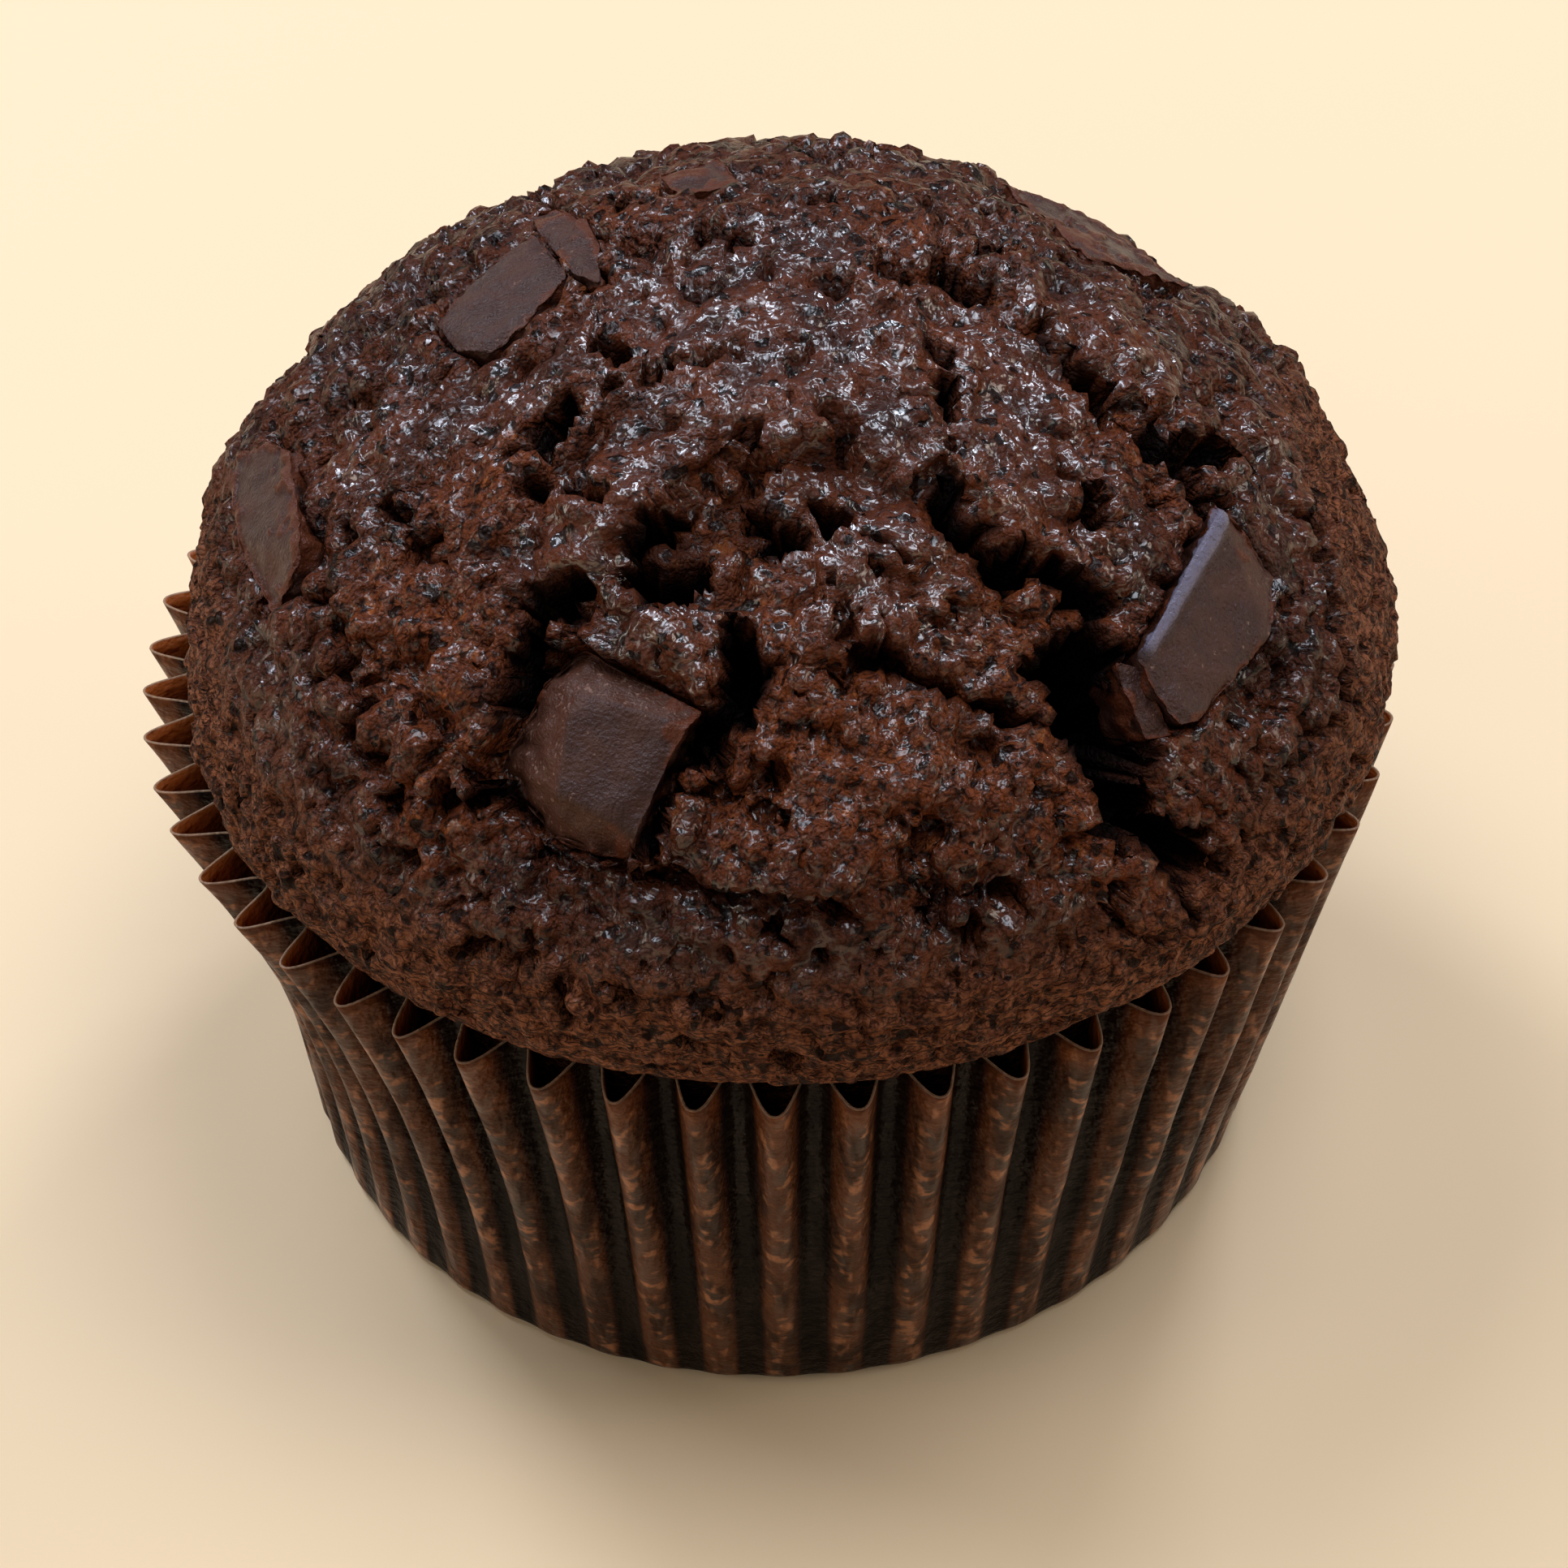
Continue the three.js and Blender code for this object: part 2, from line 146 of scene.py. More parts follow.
def make_case():
    around = PLEATS * STEPS_PER_PLEAT
    column = np.arange(around)
    phase = 2 * np.pi * column / STEPS_PER_PLEAT
    dice = np.random.default_rng(5)
    pleat = column / STEPS_PER_PLEAT
    each = np.arange(PLEATS + 1)

    def per_pleat(spread):
        values = dice.normal(0, spread, PLEATS)
        return np.interp(pleat, each, np.append(values, values[0]))

    depth_share = 1 + per_pleat(0.08)
    shift = per_pleat(0.18)
    rim_rise = per_pleat(0.12)
    off_crest = np.abs((phase + shift + np.pi) % (2 * np.pi) - np.pi) / np.pi
    valley = smooth(off_crest ** PLEAT_ROUNDNESS, 0, 0.85)
    heights = np.concatenate([[0, 0.12, 0.4], np.linspace(BASE_CORNER, CASE_HEIGHT, WALL_ROWS)])
    rows = []
    for height in heights:
        share = height / CASE_HEIGHT
        radius = BASE_RADIUS + (RIM_RADIUS - BASE_RADIUS) * share
        if height < BASE_CORNER:
            radius -= BASE_CORNER * (1 - math.sqrt(1 - (1 - height / BASE_CORNER) ** 2))
        depth = PLEAT_DEPTH_AT_BASE + (PLEAT_DEPTH - PLEAT_DEPTH_AT_BASE) * share
        reach = radius - depth * depth_share * valley
        even = 2 * np.pi * pleat / PLEATS + FIRST_PLEAT
        away = (even - RIM_FLARE_AT + np.pi) % (2 * np.pi) - np.pi
        reach += RIM_FLARE * np.exp(-((away / DENT_BREADTH) ** 2)) * share ** 4
        angle = even + PLEAT_CROWDING * np.sin(even - WIDE_PLEATS_AT)
        z = np.full(around, height) + rim_rise * share ** 6
        rows.append(np.column_stack([reach * np.cos(angle), reach * np.sin(angle), z]))
    bottom = [rows[0] * [1 - inset, 1 - inset, 1] for inset in (0.5, 0.1)]
    wall = settled(np.concatenate(bottom + rows))
    crumple = 0.07 * unevenness(wall * [1, 1, 0.3], 1.6, 2) + 0.1 * unevenness(wall * [1, 1, 0.4], 5, 3)
    crumple *= np.clip(wall[:, 2] / 4, 0, 1)
    out = wall[:, :2] / np.linalg.norm(wall[:, :2], axis=1)[:, None]
    wall[:, :2] += out * crumple[:, None]
    faces = ring_faces(len(heights) + 2, around)
    faces.append(tuple(range(around))[::-1])
    crest = np.tile(1 - valley, len(heights) + 2)
    edge = np.repeat([0.0] * (len(heights) + 1) + [1.0], around)
    return new_piece("paper_case_folded", wall, faces, {"crest": crest, "edge": edge})


def thicken(sheet):
    """Gives the folded sheet its thickness, inwards, with the second material on the inside."""
    thick = sheet.modifiers.new("paper", "SOLIDIFY")
    thick.thickness = PAPER * MM
    thick.offset = -1
    thick.material_offset = 1
    apply_modifiers(sheet)


def new_recipe(name):
    """A new material: its list of steps and its finished surface."""
    material = bpy.data.materials.new(name)
    material.use_nodes = True
    steps = material.node_tree
    return material, steps, steps.nodes["Principled BSDF"]


def add_step(steps, kind, inputs, out=0, **settings):
    """Adds one step to a recipe, fed by numbers or by other steps, and gives what comes out of it."""
    node = steps.nodes.new("ShaderNode" + kind)
    for name, value in settings.items():
        setattr(node, name, value)
    for socket, value in inputs.items():
        if isinstance(value, bpy.types.NodeSocket):
            steps.links.new(value, node.inputs[socket])
        else:
            node.inputs[socket].default_value = value
    return node.outputs[out]


def millimetres(steps, stretch=(1, 1, 1)):
    """Places on the piece in millimetres, shrunk along each axis where its pattern is drawn out."""
    place = add_step(steps, "TexCoord", {}, out="Object")
    return add_step(steps, "Mapping", {"Vector": place, "Scale": [share / MM for share in stretch]})


def cloudy(steps, place, size, detail=2.0, roughness=0.5):
    """Soft cloudy unevenness of this size, from 0 to 1."""
    inputs = {"Vector": place, "Scale": 1 / size, "Detail": detail, "Roughness": roughness}
    return add_step(steps, "TexNoise", inputs)


def mark_of(steps, name):
    return add_step(steps, "Attribute", {}, out="Fac", attribute_name=name)


def sums(steps, operation, first, second, third=0.0):
    return add_step(steps, "Math", {0: first, 1: second, 2: third}, operation=operation)


def stretched(steps, value, low, high, to_low=0.0, to_high=1.0):
    """The part of a value from low to high, spread smoothly over a new range."""
    inputs = {"Value": value, "From Min": low, "From Max": high, "To Min": to_low, "To Max": to_high}
    return add_step(steps, "MapRange", inputs, interpolation_type="SMOOTHSTEP")


def blended(steps, share, first, second):
    return add_step(steps, "MixRGB", {"Fac": share, "Color1": first, "Color2": second})


PAPER_BROWN = (0.080, 0.0245, 0.0085, 1)
PAPER_DARK = (0.0035, 0.0012, 0.0007, 1)
PAPER_WORN_AND_HIGHLIT = (0.31, 0.115, 0.045, 1)
PAPER_LIT_THROUGH = (0.38, 0.095, 0.018, 1)
PAPER_EDGE_HIGHLIGHT = (0.42, 0.27, 0.17, 1)


def paper_material(name, dark_share, lit_through_share):
    material, steps, surface = new_recipe(name)
    place = millimetres(steps)
    drawn_out = millimetres(steps, (1, 1, 0.25))
    across = millimetres(steps, (1, 1, 1.4))
    crest = mark_of(steps, "crest")
    stains = stretched(steps, cloudy(steps, drawn_out, 2.0, 2, 0.62), 0.42, 0.6)
    crinkles = cloudy(steps, across, 1.15, 2, 0.5)
    ridges = stretched(steps, crinkles, 0.5, 0.64)
    streaks = stretched(steps, cloudy(steps, drawn_out, 1.1, 2, 0.65), 0.42, 0.62)
    height = add_step(steps, "SeparateXYZ", {0: place}, out="Z")
    near_rim = stretched(steps, height, 28, 33.5)
    on_crest = stretched(steps, crest, 0.4, 0.9)
    colour = blended(steps, sums(steps, "MULTIPLY", stains, 0.65), PAPER_BROWN, PAPER_DARK)
    # Lighter streaks on the crinkle ridges of the fold crests: partly wear, partly a painted highlight where the
    # crests catch the light.
    worn_and_highlit = sums(steps, "MULTIPLY_ADD", streaks, 0.8, 0.15)
    worn_and_highlit = sums(steps, "MULTIPLY", ridges, worn_and_highlit)
    colour = blended(steps, sums(steps, "MULTIPLY", on_crest, worn_and_highlit), colour, PAPER_WORN_AND_HIGHLIT)
    # Orange near the rim, and all over the inside there: painted light shining through the thin paper.
    colour = blended(steps, sums(steps, "MULTIPLY", near_rim, lit_through_share), colour, PAPER_LIT_THROUGH)
    shaded = stretched(steps, crest, 0.6, 0.25, 0.0, dark_share)
    colour = blended(steps, shaded, colour, PAPER_DARK)
    # The top edge of the rim is painted pale: a painted highlight along the rim.
    edge = stretched(steps, mark_of(steps, "edge"), 0.93, 1.0, 0.0, 0.6)
    colour = blended(steps, edge, colour, PAPER_EDGE_HIGHLIGHT)
    steps.links.new(colour, surface.inputs["Base Color"])
    surface.inputs["Specular IOR Level"].default_value = 0.1
    roughness = stretched(steps, stains, 0, 1, 0.4, 0.55)
    steps.links.new(roughness, surface.inputs["Roughness"])
    sheen = sums(steps, "MULTIPLY", on_crest, stretched(steps, streaks, 0, 1, 0.1, 0.45))
    steps.links.new(sheen, surface.inputs["Coat Weight"])
    surface.inputs["Coat Roughness"].default_value = 0.3
    fibres = sums(steps, "MULTIPLY_ADD", cloudy(steps, place, 0.35, 1, 0.6), 0.3, crinkles)
    bump = add_step(steps, "Bump", {"Height": fibres, "Distance": 0.4 * MM, "Strength": 1.0})
    steps.links.new(bump, surface.inputs["Normal"])
    return material


paper_case = make_case()
paper_case.data.materials.append(paper_material("brown_baking_paper", 0.95, 0.2))
paper_case.data.materials.append(paper_material("brown_baking_paper_inside", 0.3, 1.0))
thicken(paper_case)
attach(paper_case, "root")
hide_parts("paper_case")


# The cake is one piece of baked chocolate batter. It fills the case, has risen over the rim, spread
# and leant forwards, and its crust has cracked: glossy skin on top, torn crumb in the cracks, and a
# dull, finely wrinkled skirt just above the case.
TOP_HEIGHT = 63.5
SPREAD_RADIUS = 35.4
SPREAD_HEIGHT = 39.6
NECK_HEIGHT = CASE_HEIGHT + 0.35
NECK_RADIUS = 33.6
FOOT_RADIUS = 30.2
FLOOR_HEIGHT = 0.7
LEAN = np.array([0.94, -3.26])
DOME_POWER = 1.67
SKIN_RINGS = 150
SKIN_LOWEST = 29.5
DENSER_AT = -0.27j
dome_height = TOP_HEIGHT - SPREAD_HEIGHT
overhang = SPREAD_HEIGHT - NECK_HEIGHT
dome_middle = np.array([LEAN[0], LEAN[1], SPREAD_HEIGHT])


def on_dome(azimuth, elevation):
    """The place on the smooth dome in this direction from its middle, in degrees."""
    turn, rise = math.radians(azimuth), math.radians(elevation)
    power, height = (2, overhang) if rise < 0 else (DOME_POWER, dome_height)
    across = math.cos(rise) / SPREAD_RADIUS
    upwards = abs(math.sin(rise)) / height
    reach = (across ** power + upwards ** power) ** (-1 / power)
    direction = [math.cos(turn) * math.cos(rise), math.sin(turn) * math.cos(rise), math.sin(rise)]
    return dome_middle + reach * np.array(direction)


def sight_to(across, down):
    """The direction from the camera to a place in the photograph."""
    sideways = (across - PHOTO_SIDE / 2) * SENSOR / LENS / PHOTO_SIDE
    upwards = (PHOTO_SIDE / 2 - down) * SENSOR / LENS / PHOTO_SIDE
    return np.array((eye_right * sideways + eye_up * upwards - backwards).normalized())


# Swells and hollows of the whole top: azimuth, elevation, height and breadth
SWELLS = [
    (142, 20, -0.6, 9),
    (124, 29, -2.6, 3.2),
    (109, 31, -0.6, 7),
    (90, 34, -0.9, 4),
    (73, 31, -0.6, 6),
    (42, 28, -2.3, 10),
    (158, 11, -0.9, 5),
    (10, 10, -0.4, 10),
    (-22, -8, 0.5, 7),
    (-95, 60, 0.7, 9),
    (-75, 25, 0.9, 9),
    (-140, 30, 0.5, 9),
    (-65, -15, 0.4, 9),
    (-97, -20, 0.5, 8),
    (183, -5, -1.2, 8),
    (-10, -12, 0.8, 7),
]
# Smaller mounds and hollows that show in the photograph: across, down, height and breadth
MOUNDS = [
    (1000, 430, 0.7, 7),
    (1030, 700, 1.3, 3.2),
    (1120, 700, 0.9, 3),
    (1240, 590, 0.7, 3.5),
    (1000, 800, 0.5, 3),
    (700, 665, 1.2, 2.6),
    (815, 780, 1.3, 3.0),
    (940, 640, -1.4, 3.4),
    (850, 690, -1.0, 2.4),
    (780, 600, 0.5, 3),
    (700, 470, 0.5, 3),
    (730, 540, -0.3, 2.5),
    (840, 450, -0.2, 2.5),
    (960, 260, 0.6, 3),
    (820, 290, 0.5, 3),
    (1130, 300, 0.6, 2.5),
    (1170, 340, -0.8, 2.5),
    (960, 1180, 0.6, 7),
    (1050, 960, 0.6, 5),
    (1170, 960, 0.6, 3),
    (1190, 870, -0.7, 3),
    (1310, 870, -0.8, 3.5),
    (1440, 980, -0.3, 4),
    (1390, 440, 0.8, 4),
    (1400, 650, 0.5, 3.5),
    (560, 880, 0.6, 3),
    (560, 1020, -0.5, 4),
    (480, 700, 0.5, 4),
]
# Cracks and holes that show in the photograph: half breadth, depth, and the places they run through
CRACKS = [
    (1.1, 6.0, [(668, 752), (662, 800), (650, 835), (634, 862)]),
    (0.8, 4.0, [(688, 748), (700, 732)]),
    (1.3, 8.0, [(1320, 798), (1335, 830)]),
    (2.4, 9.0, [(1335, 835), (1352, 870), (1370, 915)]),
    (1.5, 8.0, [(1362, 915), (1366, 960), (1385, 1000)]),
    (1.1, 4.5, [(1280, 835), (1310, 850), (1330, 890)]),
    (0.8, 4.0, [(1345, 798), (1380, 806)]),
    (1.4, 6.0, [(1418, 1040), (1455, 1052), (1450, 1080)]),
    (0.6, 3.5, [(1455, 1090), (1457, 1130)]),
    (1.1, 5.0, [(1165, 625), (1175, 645), (1190, 665)]),
    (0.8, 4.5, [(1192, 670), (1208, 700), (1240, 712), (1262, 710)]),
    (1.0, 5.0, [(1270, 705), (1300, 728), (1338, 735)]),
    (0.8, 4.0, [(1338, 620), (1350, 648)]),
    (0.8, 3.5, [(1405, 545), (1440, 562), (1495, 555)]),
    (0.8, 3.5, [(1460, 598), (1470, 628)]),
    (0.4, 3.0, [(1274, 403), (1292, 424), (1325, 462), (1366, 508)]),
    (0.8, 3.5, [(1100, 250), (1135, 258), (1172, 280)]),
    (0.8, 3.5, [(1212, 256), (1244, 270)]),
    (0.7, 3.5, [(1182, 292), (1205, 302), (1228, 318)]),
    (0.8, 3.5, [(1150, 346), (1180, 358), (1204, 368)]),
    (0.7, 3.0, [(1090, 338), (1114, 350)]),
    (0.8, 3.5, [(1142, 425), (1160, 445)]),
    (0.6, 3.5, [(1166, 470), (1160, 500), (1150, 522)]),
    (0.8, 5.0, [(786, 712), (820, 728), (862, 715)]),
    (0.7, 3.5, [(780, 672), (800, 652), (835, 648)]),
    (0.7, 3.5, [(945, 648), (968, 668)]),
    (0.6, 3.0, [(998, 625), (1033, 640)]),
    (1.3, 5.5, [(905, 800), (925, 825), (918, 850)]),
    (0.8, 3.5, [(900, 870), (915, 885)]),
    (0.7, 3.0, [(893, 895), (880, 922)]),
    (0.6, 2.5, [(1065, 802), (1100, 815), (1135, 838)]),
    (0.7, 2.5, [(1155, 855), (1200, 868), (1260, 890)]),
    (0.75, 4.0, [(708, 505), (692, 530), (668, 548)]),
    (0.6, 3.5, [(650, 560), (628, 568)]),
    (0.55, 2.5, [(650, 598), (672, 602)]),
    (0.55, 2.5, [(705, 606), (738, 614)]),
    (0.6, 3.0, [(742, 428), (755, 437)]),
    (0.5, 3.0, [(800, 464), (832, 455)]),
    (0.55, 2.0, [(848, 450), (878, 444)]),
    (0.6, 3.0, [(754, 490), (764, 480)]),
    (0.8, 4.0, [(745, 255), (760, 250)]),
    (0.9, 4.0, [(775, 262), (805, 254)]),
    (0.7, 2.5, [(864, 287), (874, 291)]),
    (0.6, 2.5, [(478, 628), (485, 640)]),
    (0.6, 2.5, [(425, 652), (432, 665)]),
    (0.5, 2.0, [(655, 238), (690, 262)]),
    (0.5, 2.5, [(400, 742), (412, 735)]),
    (0.5, 2.2, [(430, 905), (452, 893), (460, 878)]),
    (0.7, 2.5, [(480, 985), (492, 1000)]),
    (0.6, 2.0, [(490, 1040), (505, 1060)]),
    (0.6, 3.0, [(555, 985), (600, 980), (640, 1000)]),
    (0.45, 1.8, [(565, 1168), (575, 1172)]),
    (0.45, 1.6, [(610, 1160), (622, 1156)]),
    (0.4, 1.4, [(650, 1155), (656, 1153)]),
    (0.5, 1.6, [(688, 1222), (694, 1240), (703, 1252)]),
    (0.4, 1.5, [(760, 1062), (800, 1082), (860, 1095), (960, 1103)]),
    (0.75, 3.5, [(862, 895), (838, 945), (806, 995), (790, 1030)]),
    (0.5, 3.0, [(612, 962), (640, 988), (655, 1000)]),
    (0.8, 3.5, [(596, 440), (648, 405), (686, 354), (713, 340), (733, 348)]),
    (0.45, 2.5, [(533, 408), (556, 430)]),
    (0.5, 3.0, [(368, 680), (352, 712), (327, 745)]),
    (0.5, 1.8, [(1020, 1110), (1060, 1135)]),
    (0.5, 1.8, [(1235, 1090), (1262, 1120)]),
    (0.5, 2.5, [(1618, 640), (1638, 760), (1650, 860), (1652, 940)]),
]
# Edges where the crust has lifted or torn: height, how far the lift runs back, and the places that the
# edge runs through, with the raised crust on the left
LEDGES = [
    (0.9, 3.5, [(790, 655), (835, 620), (860, 605), (885, 580), (915, 560), (975, 545)]),
    (0.8, 3.0, [(1040, 560), (1110, 595), (1160, 612)]),
    (0.9, 4.5, [(1255, 383), (1272, 400), (1320, 450), (1370, 505), (1405, 535)]),
    (0.8, 4.5, [(640, 1010), (700, 1055), (760, 1070), (830, 1090), (900, 1098), (960, 1105), (1010, 1102)]),
    (0.7, 5.0, [(1160, 612), (1215, 690), (1300, 712), (1345, 745)]),
    (0.7, 3.5, [(440, 905), (500, 940), (560, 980), (640, 1000)]),
    (0.6, 3.0, [(1090, 335), (1140, 345), (1210, 366)]),
    (0.5, 3.0, [(640, 700), (690, 545), (730, 520)]),
]
# Cracks of the sides that the photograph doesn't show: half breadth, depth, azimuths and elevations
FAR_CRACKS = [
    (1.0, 4.0, [(66, 24), (76, 20), (84, 17), (96, 19)]),
    (0.8, 3.0, [(126, 14), (134, 8), (143, 5), (152, 7)]),
    (0.7, 2.5, [(22, 6), (28, 9), (34, 11)]),
    (0.9, 3.0, [(72, 40), (84, 43)]),
    (0.7, 2.5, [(112, 26), (118, 20)]),
    (0.6, 2.0, [(48, 14), (54, 8)]),
]
# Torn crumb: across, down and breadth
TORN = [
    (560, 830, 4.5),
    (600, 940, 3),
    (960, 940, 6),
    (950, 800, 3),
    (1180, 920, 6),
    (1340, 1010, 4),
    (890, 690, 3.5),
    (930, 600, 3),
    (1240, 700, 4),
    (620, 600, 4),
    (470, 760, 4),
    (1300, 850, 4),
    (1430, 560, 4),
    (1130, 300, 3.5),
    (1430, 1080, 4),
    (540, 1010, 3),
]
# Hollows where the crumb lies in shadow: across, down, breadth and how dark
SHADED = [
    (930, 640, 3.2, 0.6),
    (850, 700, 2.6, 0.75),
    (800, 720, 1.8, 0.6),
    (970, 600, 2.0, 0.4),
    (1190, 868, 2.4, 0.4),
    (1300, 850, 2.2, 0.6),
    (1010, 800, 1.5, 0.4),
    (600, 860, 1.5, 0.5),
]
# Glossy skin: across, down and breadth
GLOSSY = [
    (1000, 430, 9),
    (1230, 500, 6),
    (1390, 440, 4),
    (1060, 700, 5),
    (920, 640, 3.5),
    (810, 775, 3.5),
    (700, 650, 3.5),
    (1150, 850, 4),
    (620, 500, 3.5),
    (870, 380, 5),
    (1120, 560, 4),
    (1290, 640, 4),
    (1590, 600, 4),
    (450, 560, 3),
]


def flat_rings(rings):
    """A square grid pressed into a disc, closer on the front: directions, rings, quads and corners."""
    side = 2 * rings + 1
    index = np.arange(-rings, rings + 1)
    across, along = [axis.ravel().astype(float) for axis in np.meshgrid(index, index)]
    ring = np.maximum(np.abs(across), np.abs(along))
    safe = np.maximum(ring, 1)
    upright = np.abs(across) < np.abs(along)
    flat_turn = np.pi / 4 * along / safe + np.where(across < 0, np.pi - np.pi / 2 * along / safe, 0)
    upright_turn = np.pi / 2 - np.pi / 4 * across / safe
    upright_turn = np.where(along < 0, -upright_turn, upright_turn)
    turn = np.where(upright, upright_turn, flat_turn)
    disc = ring / rings * np.exp(1j * turn)
    disc = (disc + DENSER_AT) / (1 + np.conj(DENSER_AT) * disc)
    corner = np.arange(side * side).reshape(side, side)
    quads = np.stack([corner[:-1, :-1], corner[:-1, 1:], corner[1:, 1:], corner[1:, :-1]], -1)
    return np.angle(disc), np.abs(disc), quads.reshape(-1, 4), corner


def skin_profile():
    """Radius and height down the dome from its top to just inside the case, at even steps of length."""
    turn = np.linspace(np.pi / 2, 0, 400)
    radius = SPREAD_RADIUS * np.cos(turn).clip(0) ** (2 / DOME_POWER)
    height = SPREAD_HEIGHT + dome_height * np.sin(turn) ** (2 / DOME_POWER)
    turn = np.linspace(0, np.pi / 2, 60)[1:]
    radius = np.append(radius, NECK_RADIUS + (SPREAD_RADIUS - NECK_RADIUS) * np.cos(turn))
    height = np.append(height, SPREAD_HEIGHT - overhang * np.sin(turn))
    inside = (NECK_HEIGHT - SKIN_LOWEST) / CASE_HEIGHT
    radius = np.append(radius, NECK_RADIUS - (NECK_RADIUS - FOOT_RADIUS) * inside)
    height = np.append(height, SKIN_LOWEST)
    length = np.append(0, np.cumsum(np.hypot(np.diff(radius), np.diff(height))))
    return length / length[-1], radius, height


def leant(points):
    """Leans points of the cake forwards, from nothing at the neck to the full lean at the widest."""
    fall = np.clip((SPREAD_HEIGHT - points[:, 2]) / overhang, 0, 1)
    share = np.sqrt(1 - fall ** 2)
    moved = settled(points)
    moved[:, 0] += (LEAN[0] - RIM_LEAN) * share
    moved[:, 1] += LEAN[1] * share
    return moved


def nearness(points, place, breadth):
    """1 at a place, falling away to 0 over this breadth."""
    return np.exp(-((points - place) ** 2).sum(1) / breadth ** 2)


def distance_to_path(points, path):
    """Each point's distance to a line that runs through several places."""
    nearest = np.full(len(points), 1e9)
    for start, end in zip(path, path[1:]):
        along = end - start
        share = np.clip((points - start) @ along / max(along @ along, 1e-9), 0, 1)
        apart = points - start - share[:, None] * along
        nearest = np.minimum(nearest, np.linalg.norm(apart, axis=1))
    return nearest


def lift_beside(points, outward, path, breadth):
    """How much of a ledge's height each point has: all of it left of the edge, fading out behind it."""
    nearest = np.full(len(points), 1e9)
    left = np.zeros(len(points))
    for start, end in zip(path, path[1:]):
        along = end - start
        share = np.clip((points - start) @ along / (along @ along), 0, 1)
        apart = points - start - share[:, None] * along
        distance = np.linalg.norm(apart, axis=1)
        side = (np.cross(outward, along / np.linalg.norm(along)) * apart).sum(1)
        left = np.where(distance < nearest, side, left)
        nearest = np.minimum(nearest, distance)
    return left, nearest, np.exp(-(nearest / breadth) ** 2)


def grains(points, size, seed):
    """Rounded grains of this size that touch, from 1 on top to 0 between, and the seams between them."""
    start = Vector((7.1, 3.9, 5.3)) * seed
    near = np.array([noise.voronoi(Vector(point) / size + start)[0][:2] for point in points])
    return 1 - np.clip(near[:, 0], 0, 1) ** 2, 1 - smooth(near[:, 1] - near[:, 0], 0, 0.28)


def facing(piece, count):
    """The directions that a mesh's first points face."""
    normals = np.empty(len(piece.data.vertices) * 3, np.float32)
    piece.data.vertex_normals.foreach_get("vector", normals)
    return normals.reshape(-1, 3)[:count].astype(float)


def set_points(piece, points):
    piece.data.vertices.foreach_set("co", (points * MM).astype(np.float32).ravel())
    piece.data.update()


# Where the chunks lie on the dome, as azimuth and elevation, how far their faces stand proud of it, and
# the outline of each face, in millimetres east and up the dome from its middle
CHUNKS = {
    "chunk_front": (-111.7, 24, 1.2, [(-4.9, -2.1), (2.4, -4.9), (4.8, 2.8), (-2.5, 4.3)]),
    "chunk_right": (-36.6, 22.5, 0.5, [(-4.9, -2.6), (3.4, -2.9), (6.3, 3.8), (-4.9, 2.6)]),
    "chunk_right_sliver": (-49.2, 21.7, 0.3, [(-1.2, -1.9), (0.2, -2.7), (0.7, 2.1), (-1.1, 2.5)]),
    "chunk_upper_left": (169.7, 53.3, 0.4, [(-0.6, -5.2), (3.4, -3.6), (4.7, -0.3), (0.1, 4.2), (-4.8, 1.1)]),
    "chunk_upper_left_small": (150.5, 59.3, 0.3, [(-3.4, -3.6), (-0.6, -1.8), (3, 3.2), (1.2, 4.4)]),
    "chunk_left": (-172.8, 19.7, 0.4, [(-7.6, -2.8), (6.1, -2.4), (5.3, 2.5), (-2.2, 2.9)]),
    "chunk_upper_right": (36, 33, -0.9, [(-5.4, -3.4), (3.4, -4.6), (5.6, 3), (-4.2, 5)]),
    "chunk_top_back": (110.7, 63.9, 0.3, [(-1.9, -2.6), (1.9, -2.2), (2.2, 2), (-1.4, 2.8)]),
    "chunk_back_right": (62, 1, 0.8, [(-4.4, -3.8), (4.6, -3), (3.6, 3.6), (-3.8, 3)]),
    "chunk_back": (99, 17, -1.0, [(-5.2, -2.2), (3.2, -3.8), (5, 1.6), (-2.6, 3.6)]),
    "chunk_back_left": (141, 4, 0.2, [(-3.2, -3.4), (3.8, -2.4), (3, 2.8), (-3.8, 2.4)]),
}
# The finer outlines that show in the photograph, anticlockwise: across and down
SEEN_OUTLINES = {
    "chunk_front": [(664, 826), (618, 895), (578, 955), (655, 1030), (726, 1052), (770, 1058), (822, 940),
                    (862, 876), (772, 830), (707, 794), (688, 796)],
    "chunk_right": [(1501, 621), (1450, 715), (1403, 805), (1420, 850), (1452, 894), (1480, 888),
                    (1566, 787), (1583, 705), (1530, 636)],
    "chunk_right_sliver": [(1378, 815), (1384, 850), (1412, 912), (1446, 906), (1424, 868), (1403, 822)],
    "chunk_upper_left": [(567, 354), (534, 395), (561, 430), (600, 430), (643, 396), (692, 346),
                         (697, 332), (660, 290), (643, 288)],
    "chunk_upper_left_small": [(655, 264), (664, 288), (705, 335), (738, 346), (738, 300), (722, 270), (685, 256)],
    "chunk_left": [(290, 560), (282, 590), (296, 690), (318, 750), (356, 700), (371, 667), (362, 600),
                   (357, 555), (330, 545)],
}


